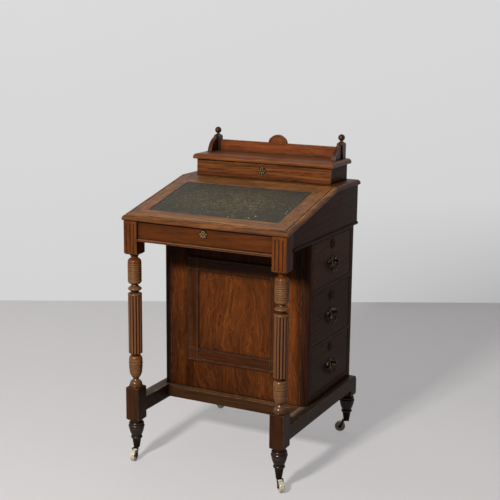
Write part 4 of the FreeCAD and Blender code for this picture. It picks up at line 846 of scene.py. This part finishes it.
def leather():
    look = leatherLook
    graph = Graph("greenLeather")
    flat = onFlap(graph)
    noise = {kind: graph.noise(flat, *plan) for kind, plan in leatherNoise.items()}

    def shown(kind):
        return graph.span(noise[kind], *look[kind + "Shows"])

    across, along, _ = graph.axes(flat)
    along = along - look["middle"]
    colour = graph.mix(shown("patch"), look["teal"], look["green"])
    worn = graph.span(along, *look["backRun"]) * look["backScuff"] + look["scuffShare"]
    colour = graph.mix(shown("scuff") * worn, colour, look["brown"])
    # the tooling is kept best round the middle
    fade = (across * across + along * along * look["fadeDepth"]).root()
    fade = graph.span(fade, *look["fadeRun"])
    scroll = graph.line(noise["wander"], *look["scroll"]) * fade * shown("speck")
    colour = graph.lay(colour, scroll, look, "scroll")
    rubbed = shown("rub") * (fade * look["rubFade"] + look["rubEverywhere"])
    colour = graph.lay(colour, rubbed, look, "rub")
    inward = (look["halfWidth"] - across.size()).maths("MINIMUM", look["halfDepth"] - along.size())
    colour = graph.lay(colour, graph.span(inward, *look["borderRun"]), look, "border")
    line = strongest(*[graph.line(inward, place, width, width * look["lineCore"])
                       for place, width in look["lines"]])
    kept = line * shown("kept")
    colour = graph.lay(colour, kept, look, "line")
    corner = graph.span(across, *look["flakeAcross"]) * graph.span(along, *look["flakeAlong"])
    sparse = shown("sparse") * (corner * look["flakeCorner"] + look["flakeEverywhere"])
    fleck = graph.span(graph.cells(flat, look["flakes"], "F1"), *look["flakeShows"]) * sparse
    colour = graph.lay(colour, fleck, look, "flake")
    colour = graph.lay(colour, graph.span(inward, *look["rimRun"]), look, "rim")
    pebbles = graph.span(graph.cells(flat, look["pebbles"]), *look["pebbleEdge"])
    height = (pebbles * look["pebbleRise"] + noise["crease"] * look["creaseRise"]
              - line * look["lineDepth"])
    rough = graph.span(noise["scuff"], *look["roughness"]) - kept * look["lineRough"]
    return graph.finish({
        "Base Color": colour, "Roughness": rough.clamped(),
        "Normal": graph.bump(height, *look["bump"]), "Specular IOR Level": look["sheen"]})


# Brass, iron, ceramic and bare wood

pullPlan = {"heights": (0.601, 0.439, 0.2765), "plateRise": 0.066, "plateHalf": 0.021}
rosettePlan = {"apron": -0.2668, "box": 0.1022, "between": 0.05, "beyond": (0.10, 0.12)}

brassLook = {
    "stain": (160, 4, 0.6, 0.5), "stainShows": (0.34, 0.62),
    "crevice": (0.004, 0.9, 0.35),
    "edge": 0.0004, "edgeShows": (0.99, 0.86),
    "rubShows": (0.62, 0.42),
    "rubShare": 0.5, "plateCover": 0.8, "plateDull": 0.2, "sideDark": 2.6, "groundCover": 0.85,
    "roughness": 0.28, "hiddenRough": 0.22, "groundRough": 0.1,
    "pits": (1400, 2, 0.5),
    "bump": (0.10, 0.0002),
    "sheen": 0.03,
}

brassKinds = {
    "plateBrass": {"dark": 0.35, "dull": 0.7, "tarnish": srgb(48, 36, 24), "rosettes": True},
    "hingeBrass": {"dark": 3.0, "dull": 0.8, "tarnish": srgb(84, 50, 24), "cover": 0.8},
    "pullBrass": {"dark": 1.7, "dull": 0.9, "tarnish": srgb(44, 32, 22),
                  "bright": srgb(160, 136, 98), "pullPlates": True},
    "castorBrass": {"dark": 3.0, "dull": 0.6, "tarnish": srgb(38, 29, 20),
                    "bright": srgb(92, 74, 50), "cover": 0.35},
}


def agedBrass(name, dark, dull, tarnish, bright=srgb(196, 168, 112), cover=0.0,
              rosettes=False, pullPlates=False):
    # bright metal shows on edges and rubbed places, brown tarnish lies over the rest
    look = brassLook
    graph = Graph(name)
    across, deep, up = graph.axes()
    stain = graph.spots(look["stain"])
    soft = graph.softEdge(look["edge"])
    rubbed = graph.span(graph.flatness(soft), *look["edgeShows"])
    rubbed = rubbed * graph.span(stain, *look["rubShows"])
    plates = 0.0
    if pullPlates:
        plates = sum((up - (pull + pullPlan["plateRise"])).size() < pullPlan["plateHalf"]
                     for pull in pullPlan["heights"])
        cover = plates * look["plateCover"]
    if rosettes:
        dark = graph.span(across.size(), *rosettePlan["beyond"], dark, look["sideDark"])
        onBox = (deep < rosettePlan["box"]) * (deep > rosettePlan["between"])
        raised = ((deep < rosettePlan["apron"]) + onBox).clamped()
        cover = (1.0 - raised) * look["groundCover"]
    stained = graph.crevice(*look["crevice"]) + graph.span(stain, *look["stainShows"]) * dark
    hidden = (stained + cover - rubbed * look["rubShare"]).clamped()
    rough = hidden * look["hiddenRough"] + cover * look["groundRough"] + look["roughness"]
    colour = graph.mix(hidden, bright, tarnish)
    if pullPlates:
        colour = graph.shade(colour, 1.0 + plates)
    return graph.finish({
        "Base Color": colour,
        "Metallic": (1.0 - hidden * (plates * look["plateDull"] + dull)).clamped(),
        "Roughness": rough.clamped(), "Specular IOR Level": look["sheen"],
        "Normal": graph.bump(graph.spots(look["pits"]), *look["bump"], soft)})


ironLook = {
    "stain": (90, 4, 0.6), "stainShows": (0.4, 0.65),
    "grey": srgb(58, 52, 47),
    "rust": srgb(74, 48, 32),
    "metal": 0.7,
    "roughness": (0.3, 0.7, 0.45, 0.7),
    "edge": 0.0006,
    "bump": (0.2, 0.0005),
}


def darkIron():
    look = ironLook
    graph = Graph("lockIron")
    stain = graph.spots(look["stain"])
    return graph.finish({
        "Base Color": graph.mix(graph.span(stain, *look["stainShows"]), look["grey"], look["rust"]),
        "Metallic": look["metal"], "Roughness": graph.span(stain, *look["roughness"]),
        "Normal": graph.bump(stain, *look["bump"], graph.softEdge(look["edge"]))})


ceramicLook = {
    "cream": srgb(216, 205, 180),
    "yellowed": srgb(176, 154, 120),
    "stain": (75, 4, 0.6, 0.6), "stainShows": (0.40, 0.72),
    "cracks": 210,
    "crackShows": (0.030, 0.0), "crackShare": 0.35, "crackColour": srgb(112, 80, 48),
    "crevice": (0.004, 0.8, 0.3), "creviceShare": 0.6, "creviceColour": srgb(84, 60, 36),
    "roughness": (0.3, 0.7, 0.20, 0.38),
    "edge": 0.0005,
    "bump": (0.12, 0.0004),
    "coat": 0.4, "coatRough": 0.08,
}


def creamCeramic():
    look = ceramicLook
    graph = Graph("creamCeramic")
    stain = graph.spots(look["stain"])
    colour = graph.mix(graph.span(stain, *look["stainShows"]), look["cream"], look["yellowed"])
    crack = graph.span(graph.cells(graph.place(), look["cracks"]), *look["crackShows"])
    colour = graph.lay(colour, crack, look, "crack")
    # darker in crevices by ambient occlusion: dirt, and painted shade
    colour = graph.lay(colour, graph.crevice(*look["crevice"]), look, "crevice")
    return graph.finish({
        "Base Color": colour, "Roughness": graph.span(stain, *look["roughness"]),
        "Normal": graph.bump(stain, *look["bump"], graph.softEdge(look["edge"])),
        "Coat Weight": look["coat"], "Coat Roughness": look["coatRough"]})


pineWoods = {
    "drawerPine": {"grain": "x", "shift": (0, 0, 0)},
    "bottomPine": {"grain": "y", "shift": (0.3, 0.2, 0.1)},
}

pineLook = {
    "growthKind": {"wave_type": "BANDS", "bands_direction": "Y"},
    "growthStretch": (0.10, 1, 1),
    "growth": {"Scale": 9, "Distortion": 9, "Detail": 3, "Detail Scale": 0.8},
    "growthShare": 0.16,
    "broad": ((0.8, 24, 24), 4, 0.6, 0.8),
    "broadShare": 0.56,
    "fibre": ((10, 400, 400), 3, 0.6),
    "fibreShare": 0.28,
    "stops": ((0.28, srgb(112, 72, 40)), (0.5, srgb(146, 100, 59)), (0.72, srgb(168, 122, 77))),
    "stain": (7, 4, 0.6, 0.5), "stainShows": (0.5, 0.75), "stainShare": 0.5,
    "stainColour": srgb(88, 56, 34),
    "crevice": (0.02, 0.8, 0.3), "creviceShare": 0.5, "creviceColour": srgb(44, 28, 18),
    "roughness": (0.3, 0.7, 0.6, 0.75),
    "edge": 0.001,
    "bump": (0.25, 0.0005),
    "sheen": 0.3,
}


def bareWood(name, grain, shift):
    look = pineLook
    graph = Graph(name)
    turned = graph.turn(graph.place(), grainTurns[grain], shift)
    growth = graph.waves(graph.stretch(turned, look["growthStretch"]), look["growthKind"],
                         look["growth"])
    broad, fibre = (graph.noise(turned, *look[kind]) for kind in ("broad", "fibre"))
    figure = (growth * look["growthShare"] + broad * look["broadShare"]
              + fibre * look["fibreShare"])
    stain = graph.span(graph.spots(look["stain"]), *look["stainShows"])
    colour = graph.lay(graph.ramp(figure, look["stops"]), stain, look, "stain")
    # darker in crevices by ambient occlusion: dirt, and painted shade
    colour = graph.lay(colour, graph.crevice(*look["crevice"]), look, "crevice")
    return graph.finish({
        "Base Color": colour, "Roughness": graph.span(fibre, *look["roughness"]),
        "Normal": graph.bump(fibre, *look["bump"], graph.softEdge(look["edge"])),
        "Specular IOR Level": look["sheen"]})


keyholeLook = {"dust": (500, 3, 0.6), "black": srgb(8, 6, 5), "brown": srgb(20, 15, 11),
               "roughness": 0.9, "sheen": 0.1}


# painted shade: the near-black of the sheets behind the keyhole plates
def keyholeDark():
    look = keyholeLook
    graph = Graph("keyholeShadow")
    dust = graph.spots(look["dust"])
    return graph.finish({
        "Base Color": graph.mix(dust, look["black"], look["brown"]),
        "Roughness": look["roughness"], "Specular IOR Level": look["sheen"]})


# Floor and wall

floorLook = {
    "colour": (0.685, 0.666, 0.671),
    "glow": 0.48,
    "bounce": (0.24, 0.24, 0.24),
    "view": (0.89, 0.45),
    "farShadow": (0.1, 1.5),
    "sideShade": (-0.6, 1.3, 0.0, 0.14),
    "grain": (210, 3, 0.6), "grainLevel": (0.3, 0.7, 0.985, 1.015),
}

wallLook = {
    "left": (-1.8227, 1.0293),
    "right": (0.2722, 2.1360),
    "low": (0.655, 0.655, 0.660),
    "high": (0.715, 0.715, 0.720),
    "heights": (-0.05, 1.6),
    "side": (-1.6, 0.5), "sideShade": 0.035,
    "cornerAcross": (-0.9, 0.3), "cornerUp": (0.50, 0.0), "cornerShadow": 0.27,
}


def floorMaterial():
    # a grey floor that is pale to the eye: part of what the camera sees is plain glow
    look = floorLook
    graph = Graph("paleFloor")
    across, along, _ = graph.axes()
    cos, sin = look["view"]
    far = along * cos - across * sin
    side = across * cos + along * sin
    # painted shadow of the object, darker toward the far right
    level = 1.0 - graph.span(far, *look["farShadow"]) * graph.span(side, *look["sideShade"])
    grain = graph.spots(look["grain"])
    colour = graph.shade(look["colour"], level * graph.span(grain, *look["grainLevel"]))
    seen = graph.seen()
    lit = graph.node("BsdfDiffuse", {"Color": graph.mix(seen, look["bounce"], colour)})
    glow = graph.node("Emission", {"Color": colour, "Strength": 1.0})
    return graph.output(graph.blend(seen * look["glow"], lit, glow))


def wallMaterial():
    # seen from the front only, so that it doesn't stand between the object and other views
    look = wallLook
    graph = Graph("paleWall")
    across, _, up = graph.axes()
    # painted shade: darker toward the floor and to the right, with the object's painted shadow in
    # the right-hand corner
    colour = graph.mix(graph.span(up, *look["heights"]), look["low"], look["high"])
    side = graph.span(across, *look["side"]) * look["sideShade"]
    corner = graph.span(across, *look["cornerAcross"]) * graph.span(up, *look["cornerUp"])
    colour = graph.shade(colour, 1.0 - side - corner * look["cornerShadow"])
    glow = graph.node("Emission", {"Color": colour, "Strength": 1.0})
    plain = graph.node("BsdfDiffuse", {"Color": colour})
    clear = graph.node("BsdfTransparent")
    behind = graph.node("NewGeometry").out("Backfacing")
    return graph.output(graph.blend(behind, graph.blend(graph.seen(), plain, glow), clear))


def addMesh(name, shape, material):
    mesh = bpy.data.meshes.new(name)
    shape.to_mesh(mesh)
    shape.free()
    mesh.materials.append(material)
    made = bpy.data.objects.new(name, mesh)
    bpy.context.scene.collection.objects.link(made)
    return made


def flatSheet(name, corners, material):
    shape = bmesh.new()
    shape.faces.new([shape.verts.new(corner) for corner in corners])
    sheet = addMesh(name, shape, material)


def addStudio():
    left, right = Vector(wallLook["left"]), Vector(wallLook["right"])
    run = (right - left).normalized()
    start, end = left - run * studio["beyond"], right + run * studio["beyond"]
    toward = Vector((-run.y, run.x)) * studio["depth"]
    low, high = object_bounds()[0].z - studio["floorGap"], studio["top"]
    flatSheet("studioFloor",
              [(*corner, low) for corner in (start - toward, end - toward, end, start)],
              floorMaterial())
    flatSheet("studioWall", [(*start, low), (*end, low), (*end, high), (*start, high)],
              wallMaterial())
    world = bpy.data.worlds.new("softRoom")
    world.use_nodes = True
    background = world.node_tree.nodes["Background"]
    background.inputs["Color"].default_value = (*studio["worldColour"], 1)
    background.inputs["Strength"].default_value = studio["worldStrength"]
    bpy.context.scene.world = world
    bpy.context.scene.view_settings.view_transform = "Standard"


addCamera()
for name, plan in lamps.items():
    addLamp(name, plan)
addStudio()
print("studio set")


# Materials on the carried-over nodes

drawerNumbers = (1, 2, 3)
castorCorners = ("front_left", "front_right", "back_left", "back_right")

finishNodes = {
    "legWalnutLeft": ["leg_left"],
    "legWalnutRight": ["leg_right"],
    "footWalnut": ["back_feet"],
    "runnerWalnut": ["runners"],
    "plinthWalnut": ["plinth_rails"],
    "stileWalnut": ["corner_stiles"],
    "panelWalnut": ["front_panel"],
    "bandWalnut": ["panel_moulding"],
    "uprightWalnut": ["pedestal_panels"],
    "sideWalnut": ["side_rails", "case_side_left", "case_side_right"],
    "firstDrawerWalnut": ["drawer_1_front"],
    "drawerWalnut": ["drawer_2_front", "drawer_3_front", "dummy_fronts"],
    "apronWalnut": ["apron_rail"],
    "mouldedWalnut": ["base_beads"],
    "shelfWalnut": ["fixed_top"],
    "topWalnut": ["case_back", "box_lid"],
    "flapWalnut": ["flap_frame"],
    "boxWalnut": ["box_front"],
    "endWalnut": ["box_boards"],
    "galleryWalnut": ["gallery_board"],
    "postWalnut": ["gallery_posts", "gallery_brackets"],
    "drawerPine": ["drawer_runners"] + [f"drawer_{number}_box" for number in drawerNumbers],
    "bottomPine": ["pedestal_floor", "case_floor", "flap_panel"],
    "greenLeather": ["flap_leather"],
    "plateBrass": ["fixed_escutcheons"],
    "hingeBrass": ["hinge_seats", "flap_hinge_leaves", "lid_hinge_leaves"],
    "pullBrass": ["dummy_pull_plates"] + [
        part.format(number) for number in drawerNumbers
        for part in ("drawer_{}_fittings", "drawer_{}_bail", "dummy_{}_bail")],
    "castorBrass": ["castor_cups"] + ["castor_fork_" + corner for corner in castorCorners],
    "creamCeramic": ["castor_wheel_" + corner for corner in castorCorners],
    "lockIron": ["locks"],
}


def makeFinishes():
    kinds = ((plainWood, plainWoods), (drawerWood, drawerWoods), (legWood, legWoods),
             (bareWood, pineWoods), (agedBrass, brassKinds))
    finishes = [make(name, **plan) for make, plans in kinds for name, plan in plans.items()]
    finishes += [stileWood(), panelWood(), apronWood(), boxFrontWood(), galleryWood(),
                 joinedWood("flapWalnut", flapLook, onSideRail, flapStain, flapLines),
                 joinedWood("bandWalnut", bandLook, onUprightBand, beadStain),
                 leather(), darkIron(), creamCeramic()]
    return {finish.name: finish for finish in finishes}


def dressNodes():
    finishes = makeFinishes()
    for finish, names in finishNodes.items():
        for name in names:
            for slot in nodes[name].material_slots:
                slot.material = finishes[finish]
    missing = set(nodes) - {name for names in finishNodes.values() for name in names}
    if missing:
        raise ValueError(f"no finish for {sorted(missing)}")


dressNodes()
print("nodes dressed")


# Painted shade: near-black sheets behind the keyhole plates, so that keyholes and piercings show
# dark

shadeSheet = {"thickness": 0.0003, "segments": 32, "pinRadius": 0.0006, "pinTaper": 0.7,
             "pinReach": 0.0010, "pinSegments": 16}
rosetteShadeSheet = {"side": (0, -1, 0), "radius": 0.0106, "pin": 0.0045, "body": "cabinet"}
drawerShadeSheet = {"across": 0.245, "deep": 0.095, "rise": 0.063, "radius": 0.0062, "pin": 0.003}

keyholeShadeSheets = {
    "apron": {"place": (0, -0.265, 0.7248), **rosetteShadeSheet},
    "box": {"place": (0, 0.104, 0.8605), **rosetteShadeSheet},
}
for number, pull in zip(drawerNumbers, pullPlan["heights"]):
    for name, side, body in ((f"drawer_{number}", 1, f"drawer_{number}"),
                             (f"dummy_{number}", -1, "cabinet")):
        place = (side * drawerShadeSheet["across"], drawerShadeSheet["deep"], pull + drawerShadeSheet["rise"])
        keyholeShadeSheets[name] = {"place": place, "side": (side, 0, 0), "body": body,
                           "radius": drawerShadeSheet["radius"], "pin": drawerShadeSheet["pin"]}


def addPiece(name, shape, material, body):
    piece = addMesh(name, shape, material)
    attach(piece, body)


def lockFace(name, plan, material):
    # a near-black sheet of painted shade behind a pierced plate, with the key's pin standing in it
    shape = bmesh.new()
    bmesh.ops.create_circle(shape, cap_ends=True, radius=plan["radius"],
                            segments=shadeSheet["segments"])
    raised = bmesh.ops.extrude_face_region(shape, geom=shape.faces[:])["geom"]
    bmesh.ops.translate(shape, vec=(0, 0, shadeSheet["thickness"]),
                        verts=[part for part in raised if isinstance(part, bmesh.types.BMVert)])
    pin = bmesh.ops.create_cone(shape, cap_ends=True, segments=shadeSheet["pinSegments"],
                                radius1=shadeSheet["pinRadius"],
                                radius2=shadeSheet["pinRadius"] * shadeSheet["pinTaper"],
                                depth=shadeSheet["pinReach"])["verts"]
    stand = shadeSheet["thickness"] + shadeSheet["pinReach"] / 2
    bmesh.ops.translate(shape, verts=pin, vec=(0, plan["pin"], stand))
    bmesh.ops.recalc_face_normals(shape, faces=shape.faces[:])
    turn = Vector(plan["side"]).to_track_quat("Z", "Y").to_matrix().to_4x4()
    bmesh.ops.transform(shape, matrix=Matrix.Translation(plan["place"]) @ turn,
                        verts=shape.verts[:])
    addPiece("keyhole_shade_" + name, shape, material, plan["body"])


keyholeMaterial = keyholeDark()
for name, plan in keyholeShadeSheets.items():
    lockFace(name, plan, keyholeMaterial)
print("lock faces set:", len(keyholeShadeSheets))
